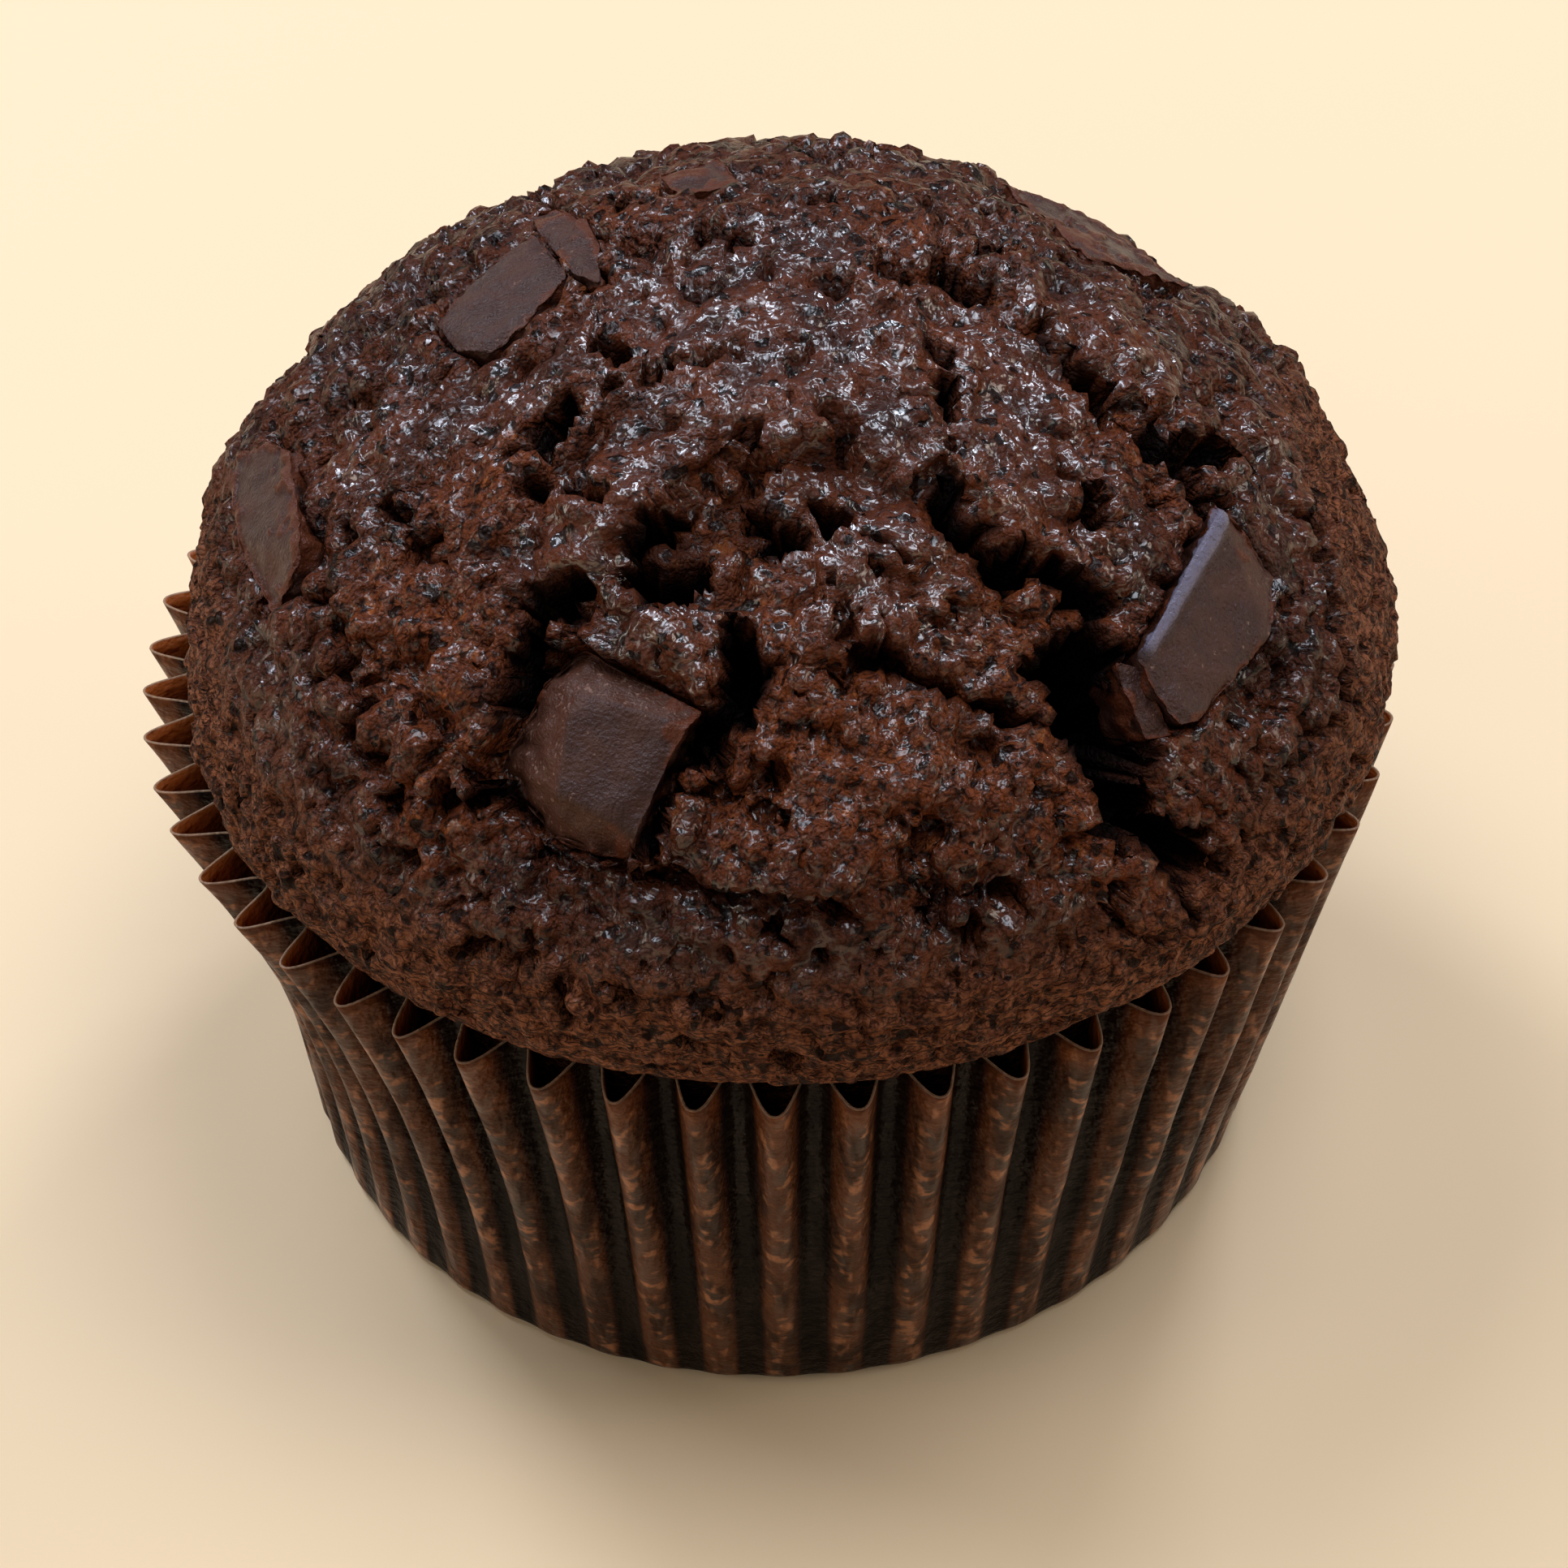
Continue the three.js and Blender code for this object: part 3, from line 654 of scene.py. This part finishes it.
def chunk_frame(azimuth, elevation):
    """A place on the dome with its directions: east, up the dome, and outwards."""
    place = on_dome(azimuth, elevation)
    away = place - dome_middle
    lower = away[2] < 0
    power, height = (2, overhang) if lower else (DOME_POWER, dome_height)
    across = math.hypot(away[0], away[1])
    steepness = (across / SPREAD_RADIUS) ** (power - 1) / SPREAD_RADIUS
    flatness = (abs(away[2]) / height) ** (power - 1) / height * (-1 if lower else 1)
    outward = np.array([away[0] / across * steepness, away[1] / across * steepness, flatness])
    outward /= np.linalg.norm(outward)
    turn = math.radians(azimuth)
    east = np.array([-math.sin(turn), math.cos(turn), 0])
    return place, np.array([east, np.cross(outward, east), outward])


def on_face(place, directions, across, down):
    """Where a place in the photograph lies on a chunk's face, in millimetres east and up the dome."""
    sight = sight_to(across, down)
    start = np.array(eye)
    distance = (place - start) @ directions[2] / (sight @ directions[2])
    east, up = ((start + sight * distance - place) @ directions.T)[:2]
    return float(east), float(up)


def face_of(name):
    """A chunk's place, its directions, how proud its face stands and the face's outline."""
    azimuth, elevation, proud, outline = CHUNKS[name]
    place, directions = chunk_frame(azimuth, elevation)
    if name in SEEN_OUTLINES:
        outline = [on_face(place + proud * directions[2], directions, *point) for point in SEEN_OUTLINES[name]]
    return place, directions, proud, outline


def beyond_outline(places, outline):
    """How far places lie outside an outline, less than 0 inside it."""
    beyond = np.full(len(places), -1e9)
    for start, end in zip(outline, outline[1:] + outline[:1]):
        along = np.subtract(end, start) / math.dist(start, end)
        out = np.array([along[1], -along[0]])
        beyond = np.maximum(beyond, (places - start) @ out)
    return beyond


def seen_points(points, outward, behind):
    """A lookup: which of these points shows at a place in the photograph. It gives the point's twin."""
    away = points - np.array(eye)
    depth = -away @ np.array(backwards)
    scale = LENS / SENSOR * PHOTO_SIDE
    across = PHOTO_SIDE / 2 + away @ np.array(eye_right) / depth * scale
    down = PHOTO_SIDE / 2 - away @ np.array(eye_up) / depth * scale
    hidden = (outward * away).sum(1) > 0

    def twin(at_across, at_down):
        return behind[np.argmin(np.hypot(across - at_across, down - at_down) + 1e6 * hidden)]

    return twin


def make_cake():
    turn, share, quads, corner = flat_rings(SKIN_RINGS)
    length, radius, height = skin_profile()
    reach = np.interp(share, length, radius)
    skin = np.column_stack([reach * np.cos(turn), reach * np.sin(turn), np.interp(share, length, height)])
    count = len(skin)
    rim = np.concatenate([corner[0, :-1], corner[:-1, -1], corner[-1, :0:-1], corner[:0:-1, 0]])
    body = []
    for low, narrow in ((20, 0), (8, 0), (FLOOR_HEIGHT + 1, 0), (FLOOR_HEIGHT, 1)):
        wide = FOOT_RADIUS + (NECK_RADIUS - FOOT_RADIUS) * low / CASE_HEIGHT - narrow
        body.append(np.column_stack([wide * np.cos(turn[rim]), wide * np.sin(turn[rim]), np.full(len(rim), low)]))
    around = len(rim)
    faces = quads.tolist()
    rows = [rim] + [count + row * around + np.arange(around) for row in range(len(body))]
    for upper, lower in zip(rows, rows[1:]):
        faces += np.column_stack([np.roll(upper, -1), upper, lower, np.roll(lower, -1)]).tolist()
    faces.append(rows[-1][::-1].tolist())
    points = leant(np.concatenate([skin] + body))

    smooth_skin = points[:count].copy()
    free = smooth(smooth_skin[:, 2], 33, 37)
    outward = smooth_skin - dome_middle
    outward[:, 2] = np.maximum(outward[:, 2], 0) * (SPREAD_RADIUS / dome_height) ** 2
    outward /= np.linalg.norm(outward, axis=1)[:, None]

    rise = sum(high * nearness(smooth_skin, on_dome(a, e), wide) for a, e, high, wide in SWELLS)
    rise += 0.45 * unevenness(smooth_skin, 6.5, 1) + 0.25 * unevenness(smooth_skin, 3.2, 2)
    seen = seen_points(smooth_skin + outward * rise[:, None], outward, smooth_skin)
    rise += sum(high * nearness(smooth_skin, seen(a, d), wide) for a, d, high, wide in MOUNDS)
    turned = np.degrees(np.arctan2(outward[:, 1], outward[:, 0]))
    skirt_top = 46 + 8 * np.exp(-((turned / 22) ** 2)) + 4 * np.exp(-(((turned % 360 - 190) / 25) ** 2))
    skirt = 1 - smooth(smooth_skin[:, 2], skirt_top - 6, skirt_top)
    rise *= free
    surface = smooth_skin + outward * rise[:, None]
    seen = seen_points(surface, outward, smooth_skin)

    ragged = 0.85 * unevenness(smooth_skin, 2.2, 4) + 0.6 * unevenness(smooth_skin, 0.9, 5)
    paths = [(half, deep, [seen(*place) for place in path]) for half, deep, path in CRACKS]
    paths += [(half, deep, [on_dome(*place) for place in path]) for half, deep, path in FAR_CRACKS]
    cut = np.zeros(count)
    shade = np.zeros(count)
    lip = np.zeros(count)
    torn = np.zeros(count)
    for half, deep, path in paths:
        apart = distance_to_path(smooth_skin, path) + 0.85 * ragged * min(1, half)
        cut = np.maximum(cut, deep * smooth(-apart, -1.15 * half, -0.55 * half))
        shade = np.maximum(shade, min(1, deep / 3.5) * smooth(-apart, -1.4 * half, -1.0 * half))
        lip = np.maximum(lip, min(0.4, 0.15 * deep) * np.exp(-((apart - 1.9 * half) / (0.8 * half)) ** 2))
        torn = np.maximum(torn, min(0.7, deep / 5) * np.exp(-(apart / (2.4 * half)) ** 2))
    clusters = 0.25 + 0.75 * smooth(unevenness(smooth_skin, 4, 12), -0.1, 0.25)
    pores = 1.9 * smooth(unevenness(smooth_skin, 1.9, 13), 0.3, 0.45)
    pores += 1.0 * smooth(unevenness(smooth_skin, 0.95, 14), 0.33, 0.5)
    cut = np.maximum(cut, pores * clusters * (1 - 0.4 * skirt))

    step = np.zeros(count)
    for high, breadth, path in LEDGES:
        left, apart, fade = lift_beside(smooth_skin, outward, [seen(*place) for place in path], breadth)
        left = left + 0.9 * ragged
        step += high * fade * (smooth(left, -0.35, 0.35) - 0.35 * smooth(-left, -0.35, 0.35))
        cut = np.maximum(cut, 0.8 * high * np.exp(-((left + 0.7) / 0.6) ** 2) * np.exp(-(apart / 1.8) ** 2))

    broad = unevenness(smooth_skin, 5, 21)
    torn = np.maximum(torn, 0.9 * sum(nearness(smooth_skin, seen(a, d), wide) for a, d, wide in TORN))
    torn = np.clip(torn + 0.5 * np.clip(broad - 0.15, 0, 1), 0, 1) * (1 - 0.7 * skirt)
    gloss = sum(nearness(smooth_skin, seen(a, d), wide) for a, d, wide in GLOSSY)
    gloss = np.clip(gloss + 0.8 * np.clip(-broad, 0, 1), 0, 1) * (1 - 0.6 * torn) * (1 - skirt)
    surface += outward * (free * (lip + step - cut))[:, None]

    count_all = len(points)
    points[:count] = surface
    marks = {"torn": np.zeros(count_all), "gloss": np.zeros(count_all)}
    marks["skirt"] = np.zeros(count_all)
    marks["hollow"] = np.zeros(count_all)
    marks["torn"][:count] = torn
    marks["gloss"][:count] = gloss
    marks["skirt"][:count] = skirt
    for across, down, wide, painted_shade in SHADED:
        shade = np.maximum(shade, painted_shade * nearness(smooth_skin, seen(across, down), wide))
    # The hollow mark is where painted shade darkens the cracks and shaded hollows; it also makes them rougher and
    # without coat.
    hollow = np.maximum(shade, smooth(cut, 0.9, 2.4))
    marks["hollow"][:count] = hollow
    piece = new_piece("baked_cake", points, faces, marks)

    out = facing(piece, count)
    shove = np.column_stack([unevenness(surface, 1.8, seed) for seed in (31, 32, 33)])
    clumps, seams = grains(surface + 0.9 * shove, 3.0, 6)
    lumps, creases = grains(surface + 0.5 * shove, 1.45, 7)
    crumbs = grains(surface, 0.75, 8)[0]
    fine = unevenness(surface, 0.7, 9)
    open_seams = seams * smooth(unevenness(surface, 4.5, 15), -0.05, 0.35)
    wrinkle_turn = np.degrees(np.arctan2(surface[:, 1] - LEAN[1], surface[:, 0] - LEAN[0])) * 0.3
    drawn = np.column_stack([wrinkle_turn, surface[:, 2] * 1.6, 0 * wrinkle_turn])
    wrinkles = unevenness(drawn, 1.2, 10)
    crumbly = 0.9 * clumps + 0.7 * lumps + 0.45 * crumbs + 0.3 * fine - 1.3 * open_seams - 1.1
    skinned = 0.7 * clumps + 0.5 * lumps + 0.28 * crumbs + 0.15 * fine - 0.9 * open_seams - 0.7
    skinned *= 1 - 0.6 * gloss
    wrinkled = 0.4 * lumps + 0.35 * wrinkles + 0.3 * crumbs + 0.12 * fine - 0.4 * open_seams * creases - 0.35
    bumps = torn * crumbly + (1 - torn) * (1 - skirt) * skinned + skirt * (1 - torn) * wrinkled
    walls = np.column_stack([unevenness(surface, 0.9, seed) for seed in (34, 35, 36)])
    walls = 0.3 * shove + 0.6 * walls * hollow[:, None]
    surface = surface + out * (free * bumps)[:, None] + walls * free[:, None]

    for name in CHUNKS:
        place, directions, proud, outline = face_of(name)
        local = (surface - place) @ directions.T
        beyond = beyond_outline(local[:, :2], outline)
        beyond[np.abs(local[:, 2]) > 9] = 99
        edge = 0.4 * ragged + min(0.35, 0.6 * proud - 0.35)
        sunk = np.minimum(local[:, 2], -2.2)
        share = smooth(edge - beyond, -0.2, 0.25)
        share[beyond > 3] = 0
        local[:, 2] += (sunk - local[:, 2]) * share
        surface = np.where((share > 0)[:, None], place + local @ directions, surface)
    points[:count] = surface
    set_points(piece, points)
    return piece


CRUST_BROWN = (0.088, 0.022, 0.0085, 1)
CRUST_DARK = (0.038, 0.0105, 0.0055, 1)
CRUMB_SIENNA = (0.150, 0.036, 0.0105, 1)
CRUMB_PALE = (0.34, 0.10, 0.026, 1)
SKIRT_BROWN = (0.22, 0.076, 0.034, 1)
SKIRT_DARK = (0.10, 0.030, 0.014, 1)
PAINTED_SHADE_COLOUR = (0.004, 0.0012, 0.0008, 1)
SKY_TINT = (0.86, 0.86, 1.0, 1)


def rounded(steps, distance):
    """Round-topped lumps, from the distance to the middle of each."""
    squared = sums(steps, "MULTIPLY", distance, distance)
    return sums(steps, "SUBTRACT", 1.0, squared)


def cake_material():
    material, steps, surface = new_recipe("baked_chocolate_batter")
    place = millimetres(steps)
    torn = mark_of(steps, "torn")
    gloss = mark_of(steps, "gloss")
    skirt = mark_of(steps, "skirt")
    hollow = mark_of(steps, "hollow")
    patches = stretched(steps, cloudy(steps, place, 3.5, 2, 0.55), 0.36, 0.66)
    specks = stretched(steps, cloudy(steps, place, 0.6, 1, 0.5), 0.38, 0.68)
    warp = add_step(steps, "TexNoise", {"Vector": place, "Scale": 1.6, "Detail": 1}, out="Color")
    warp = add_step(steps, "VectorMath", {0: warp, "Scale": 0.5}, operation="SCALE")
    bent = add_step(steps, "VectorMath", {0: place, 1: warp}, operation="ADD")
    lumps = rounded(steps, add_step(steps, "TexVoronoi", {"Vector": bent, "Scale": 1.9}))
    small = rounded(steps, add_step(steps, "TexVoronoi", {"Vector": bent, "Scale": 4.4}))
    fine = cloudy(steps, place, 0.25, 0, 0.5)
    relief = sums(steps, "MULTIPLY_ADD", small, 0.45, sums(steps, "MULTIPLY", lumps, 0.8))
    relief = sums(steps, "MULTIPLY_ADD", fine, 0.28, relief)
    calm = sums(steps, "MULTIPLY", relief, stretched(steps, gloss, 0, 1, 1.0, 0.45))
    flattened = millimetres(steps, (1, 1, 2.6))
    folds = sums(steps, "ABSOLUTE", sums(steps, "SUBTRACT", cloudy(steps, flattened, 1.5, 2, 0.6), 0.5), 0)
    folds = sums(steps, "MULTIPLY", stretched(steps, folds, 0.045, 0.0), skirt)
    pits = stretched(steps, cloudy(steps, bent, 1.1, 1, 0.55), 0.37, 0.32)
    small_pits = stretched(steps, cloudy(steps, flattened, 0.65, 1, 0.5), 0.345, 0.30)
    pits = sums(steps, "MAXIMUM", pits, sums(steps, "MULTIPLY", small_pits, skirt))
    calm = sums(steps, "MULTIPLY_ADD", folds, -0.35, calm)
    calm = sums(steps, "MULTIPLY_ADD", pits, -0.9, calm)
    shine = cloudy(steps, bent, 0.95, 1, 0.55)

    colour = blended(steps, patches, CRUST_BROWN, CRUST_DARK)
    on_skirt = blended(steps, specks, SKIRT_BROWN, SKIRT_DARK)
    colour = blended(steps, skirt, colour, on_skirt)
    crumb = blended(steps, specks, CRUMB_SIENNA, CRUST_BROWN)
    pale_bits = stretched(steps, cloudy(steps, place, 0.9, 1, 0.5), 0.64, 0.74)
    crumb = blended(steps, sums(steps, "MULTIPLY", pale_bits, 0.6), crumb, CRUMB_PALE)
    colour = blended(steps, torn, colour, crumb)
    # Painted shade: darker between the grains, in the skirt's folds, in the pits, and in the cracks and shaded
    # hollows.
    painted_shade = stretched(steps, relief, 1.09, 0.56)
    painted_shade = sums(steps, "MULTIPLY", painted_shade, stretched(steps, gloss, 0, 1, 0.85, 0.45))
    painted_shade = sums(steps, "MAXIMUM", painted_shade, sums(steps, "MULTIPLY", folds, 0.7))
    painted_shade = sums(steps, "MAXIMUM", painted_shade, sums(steps, "MULTIPLY", pits, 0.9))
    painted_shade = sums(steps, "MAXIMUM", painted_shade, hollow)
    colour = blended(steps, painted_shade, colour, PAINTED_SHADE_COLOUR)
    steps.links.new(colour, surface.inputs["Base Color"])

    surface.inputs["IOR"].default_value = 1.15
    dull = sums(steps, "MULTIPLY_ADD", specks, 0.15, 0.3)
    roughness = sums(steps, "MULTIPLY_ADD", skirt, 0.25, dull)
    roughness = sums(steps, "MULTIPLY_ADD", hollow, 0.3, roughness)
    steps.links.new(roughness, surface.inputs["Roughness"])
    beads = stretched(steps, cloudy(steps, place, 1.0, 1, 0.6), 0.43, 0.6, 0.14, 1.1)
    greasy = sums(steps, "MULTIPLY", beads, stretched(steps, gloss, 0, 0.7, 0.24, 0.54))
    greasy = sums(steps, "MULTIPLY", greasy, stretched(steps, skirt, 0, 0.8, 1.0, 0.15))
    greasy = sums(steps, "MULTIPLY", greasy, stretched(steps, torn, 0.2, 1.0, 1.0, 0.9))
    greasy = sums(steps, "MULTIPLY", greasy, stretched(steps, hollow, 0.1, 0.8, 1.0, 0.0))
    steps.links.new(greasy, surface.inputs["Coat Weight"])
    surface.inputs["Coat Roughness"].default_value = 0.22
    surface.inputs["Coat IOR"].default_value = 2.2
    # The coat is tinted blue: a painted reflection of the sky that gives the crust its lavender sheen.
    surface.inputs["Coat Tint"].default_value = SKY_TINT
    bump = add_step(steps, "Bump", {"Height": calm, "Distance": 0.44 * MM, "Strength": 1.0})
    steps.links.new(bump, surface.inputs["Normal"])
    glints = {"Height": shine, "Distance": 0.58 * MM, "Strength": 1.0}
    steps.links.new(add_step(steps, "Bump", glints), surface.inputs["Coat Normal"])
    return material


cake = make_cake()
cake.data.materials.append(cake_material())
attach(cake, "root")
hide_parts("cake")


# The chunks are broken pieces of dark chocolate that were stirred into the batter: flat faces dulled
# by the oven, rough broken sides and facets. They are stuck in the crust, with crumbs against them.
CHUNK_DETAIL = 0.2
CHUNK_DEPTH = 3.2
CHUNK_TAPER = 0.12
# Facets of the chunks that show: the ridge's two ends in the photograph, with the facet on the left of
# the way from the first to the second, and how steeply it falls
FACETS = {
    "chunk_front": [
        ((690, 975), (712, 818), 0.7),
        ((842, 897), (716, 856), -0.75),
        ((668, 968), (770, 1022), -1.1),
        ((706, 905), (760, 868), 0.12),
    ],
    "chunk_right": [
        ((1512, 660), (1566, 790), 0.3),
        ((1562, 782), (1470, 885), 0.7),
    ],
    "chunk_upper_left": [
        ((600, 425), (690, 345), -0.5),
        ((640, 300), (560, 372), -0.25),
    ],
    "chunk_left": [
        ((300, 660), (362, 668), -0.3),
    ],
}
# The glossy bead that the melted left edge of the right-hand chunk has drawn up to, painted bluish as a reflection
# of the sky: its two ends in the photograph, its height and its half breadth
BEAD = ((1412, 796), (1503, 640), 0.55, 0.62)
# How much of each chunk a film of batter hides, where it is more than a few patches near the edges
SMEARED = {
    "chunk_left": 0.22,
    "chunk_top_back": 0.4,
    "chunk_back_left": 0.15,
    "chunk_upper_right": 0.35,
    "chunk_upper_left_small": 0.1,
}


def left_of(local, start, end):
    """How far points lie left of the way from one place to another."""
    along = np.subtract(end, start) / math.dist(start, end)
    return (local[:, 0] - start[0]) * -along[1] + (local[:, 1] - start[1]) * along[0]


def make_chunk(name, seed):
    place, directions, proud, outline = face_of(name)
    outline = np.array(outline)
    middle = outline.mean(0)
    count = len(outline)
    top = np.column_stack([outline, np.full(count, proud + 0.7)])
    root = np.column_stack([middle + (outline - middle) * (1 - CHUNK_TAPER), np.full(count, -CHUNK_DEPTH)])
    local = np.concatenate([root, top])
    faces = [tuple(range(count))[::-1], tuple(range(count, 2 * count))]
    faces += [(i, (i + 1) % count, count + (i + 1) % count, count + i) for i in range(count)]
    block = new_piece("chocolate_" + name, place + local @ directions, faces, {})
    remesh = block.modifiers.new("even_faces", "REMESH")
    remesh.mode = "VOXEL"
    remesh.voxel_size = CHUNK_DETAIL * MM
    apply_modifiers(block)
    points = np.empty(len(block.data.vertices) * 3, np.float32)
    block.data.vertices.foreach_get("co", points)
    points = points.reshape(-1, 3).astype(float) / MM

    local = (points - place) @ directions.T
    flat = proud + 0.14 * unevenness(points, 3, seed) + 0.10 * unevenness(points, 1.1, seed + 1)
    bead_gloss_and_reflection = np.zeros(len(points))
    facet = np.zeros(len(points))
    raised = place + proud * directions[2]
    for first, second, slope in FACETS.get(name, []):
        start = on_face(raised, directions, *first)
        end = on_face(raised, directions, *second)
        side = left_of(local, start, end) * (1 if slope > 0 else -1)
        side += 0.25 * unevenness(points, 1.3, seed + 2)
        fall = abs(slope) * np.clip(side, 0, None)
        flat = flat - fall * (1 + 0.22 * unevenness(points, 0.9, seed + 10))
        facet = np.maximum(facet, smooth(fall, 0.02, 0.2) * min(1, abs(slope) / 0.5))
    if name == "chunk_right":
        start = np.array(on_face(raised, directions, *BEAD[0]))
        end = np.array(on_face(raised, directions, *BEAD[1]))
        apart = distance_to_path(local[:, :2], [start, end])
        ripples = 1 + 0.12 * unevenness(points, 0.5, seed + 5)
        bead = np.exp(-(apart / BEAD[3]) ** 4)
        flat = flat + BEAD[2] * bead * ripples
        bead_gloss_and_reflection = bead
    near_edge = smooth(beyond_outline(local[:, :2], [tuple(corner) for corner in outline]), -0.8, 0.1)
    flat = flat - (0.2 + 0.2 * unevenness(points, 0.9, seed + 9)) * near_edge * (1 - bead_gloss_and_reflection)
    over = local[:, 2] - flat
    local[:, 2] = np.where(over > 0, flat, local[:, 2])
    bead_gloss_and_reflection *= over > -0.4
    film = SMEARED.get(name, 0) - 0.36 + 0.4 * near_edge + 0.5 * unevenness(points, 2.4, seed + 6)
    film = smooth(film + 0.3 * unevenness(points, 0.7, seed + 7), 0, 0.12) * (1 - bead_gloss_and_reflection)
    local[:, 2] += 0.16 * film * (1 + unevenness(points, 0.9, seed + 8))
    points = place + local @ directions
    set_points(block, points)
    out = facing(block, len(points))
    rough = smooth(-over, 0.1, 0.6)
    bumps = (0.05 + 0.3 * rough) * unevenness(points, 1.2, seed + 3)
    bumps += (0.03 + 0.15 * rough) * unevenness(points, 0.5, seed + 4)
    set_points(block, points + out * bumps[:, None])
    for mark, values in (("bead_gloss_and_reflection", bead_gloss_and_reflection), ("side", rough), ("film", film), ("facet", facet)):
        block.data.attributes.new(mark, "FLOAT", "POINT").data.foreach_set("value", values.astype(np.float32))
    block.data.polygons.foreach_set("use_smooth", [True] * len(block.data.polygons))
    return block


CHOCOLATE = (0.042, 0.0185, 0.0148, 1)
CHOCOLATE_BROWN = (0.070, 0.026, 0.0155, 1)
CHOCOLATE_BLOOM = (0.100, 0.056, 0.046, 1)
CHOCOLATE_SKY_REFLECTION = (0.13, 0.115, 0.16, 1)
CHOCOLATE_SIDE = (0.035, 0.012, 0.007, 1)
CHOCOLATE_FLECK = (0.27, 0.16, 0.12, 1)


def chocolate_material():
    material, steps, surface = new_recipe("baked_dark_chocolate")
    place = millimetres(steps)
    bead_gloss_and_reflection = mark_of(steps, "bead_gloss_and_reflection")
    side = mark_of(steps, "side")
    film = mark_of(steps, "film")
    facet = mark_of(steps, "facet")
    mottle = stretched(steps, cloudy(steps, place, 2.2, 4, 0.6), 0.4, 0.66)
    bloom = stretched(steps, cloudy(steps, place, 0.7, 5, 0.75), 0.48, 0.75)
    flecks = stretched(steps, cloudy(steps, place, 0.55, 3, 0.6), 0.66, 0.72)
    # Browner on the facets: partly fresh broken chocolate, partly painted light that the facets catch; random
    # mottling elsewhere.
    broken_and_lit = sums(steps, "MULTIPLY_ADD", facet, 0.75, sums(steps, "MULTIPLY", mottle, 0.6))
    colour = blended(steps, broken_and_lit, CHOCOLATE, CHOCOLATE_BROWN)
    colour = blended(steps, sums(steps, "MULTIPLY", bloom, 0.35), colour, CHOCOLATE_BLOOM)
    dashes = stretched(steps, cloudy(steps, millimetres(steps, (1, 1, 0.5)), 0.3, 2, 0.5), 0.62, 0.68)
    flecks = sums(steps, "MAXIMUM", flecks, sums(steps, "MULTIPLY", dashes, facet))
    colour = blended(steps, sums(steps, "MULTIPLY", flecks, 0.5), colour, CHOCOLATE_FLECK)
    colour = blended(steps, side, colour, CHOCOLATE_SIDE)
    colour = blended(steps, sums(steps, "MULTIPLY", film, 0.9), colour, CRUST_BROWN)
    # The bead is painted bluish: a painted reflection of the sky on its glossy surface.
    colour = blended(steps, bead_gloss_and_reflection, colour, CHOCOLATE_SKY_REFLECTION)
    steps.links.new(colour, surface.inputs["Base Color"])
    surface.inputs["IOR"].default_value = 1.27
    roughness = stretched(steps, mottle, 0, 1, 0.36, 0.5)
    roughness = sums(steps, "MULTIPLY_ADD", bead_gloss_and_reflection, -0.18, roughness)
    steps.links.new(roughness, surface.inputs["Roughness"])
    scratched = millimetres(steps, (1, 1, 0.3))
    fine = sums(steps, "ADD", cloudy(steps, scratched, 0.9, 5, 0.65), cloudy(steps, place, 0.2, 2, 0.5))
    bump = add_step(steps, "Bump", {"Height": fine, "Distance": 0.13 * MM, "Strength": 1.0})
    steps.links.new(bump, surface.inputs["Normal"])
    return material


chocolate = chocolate_material()
for seed, name in enumerate(CHUNKS):
    chunk = make_chunk(name, 50 + 7 * seed)
    chunk.data.materials.append(chocolate)
    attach(chunk, "root")
    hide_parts(name)


# The muffin stands on a plain pale floor in soft daylight: two broad, cool sky lights over it, two small
# cool windows behind, warm low lights at both sides and a weak warm one in front.
FLOOR_SIZE = 8.0
FLOOR_COLOUR = (0.78, 0.59, 0.37, 1)

floor_mesh = bpy.data.meshes.new("floor")
half = FLOOR_SIZE / 2
floor_corners = [(-half, -half, 0), (half, -half, 0), (half, half, 0), (-half, half, 0)]
floor_mesh.from_pydata(floor_corners, [], [(0, 1, 2, 3)])
floor = bpy.data.objects.new("floor", floor_mesh)
bpy.context.scene.collection.objects.link(floor)
floor_material, floor_steps, floor_surface = new_recipe("pale_floor")
floor_surface.inputs["Base Color"].default_value = FLOOR_COLOUR
floor_surface.inputs["Roughness"].default_value = 0.7
floor_mesh.materials.append(floor_material)

LIGHTS = [
    ("sky over left", (-0.30, 0.16, 0.74), 0.32, 2.9, (0.80, 0.87, 1.0)),
    ("sky over right", (0.20, 0.00, 0.82), 0.36, 3.4, (0.84, 0.89, 1.0)),
    ("left window", (-0.40, 0.48, 0.50), 0.16, 2.3, (0.76, 0.84, 1.0)),
    ("right window", (0.28, 0.52, 0.50), 0.15, 1.9, (0.78, 0.86, 1.0)),
    ("left side", (-0.75, -0.10, 0.24), 0.34, 1.25, (1.0, 0.90, 0.78)),
    ("right side", (0.75, -0.05, 0.28), 0.34, 1.55, (1.0, 0.89, 0.78)),
    ("front", (-0.3, -0.7, 0.7), 0.5, 1.0, (1.0, 0.93, 0.84)),
]
for name, place, size, power, colour in LIGHTS:
    light_data = bpy.data.lights.new(name, "AREA")
    light_data.size = size
    light_data.energy = power
    light_data.color = colour
    light = bpy.data.objects.new(name, light_data)
    light.location = place
    aim = AIMED_AT * MM - light.location
    light.rotation_euler = aim.to_track_quat("-Z", "Y").to_euler()
    bpy.context.scene.collection.objects.link(light)

world = bpy.data.worlds.new("daylight")
world.use_nodes = True
world.node_tree.nodes["Background"].inputs["Color"].default_value = (0.95, 0.97, 1.0, 1)
world.node_tree.nodes["Background"].inputs["Strength"].default_value = 0.10
bpy.context.scene.world = world
bpy.context.scene.view_settings.view_transform = "Standard"
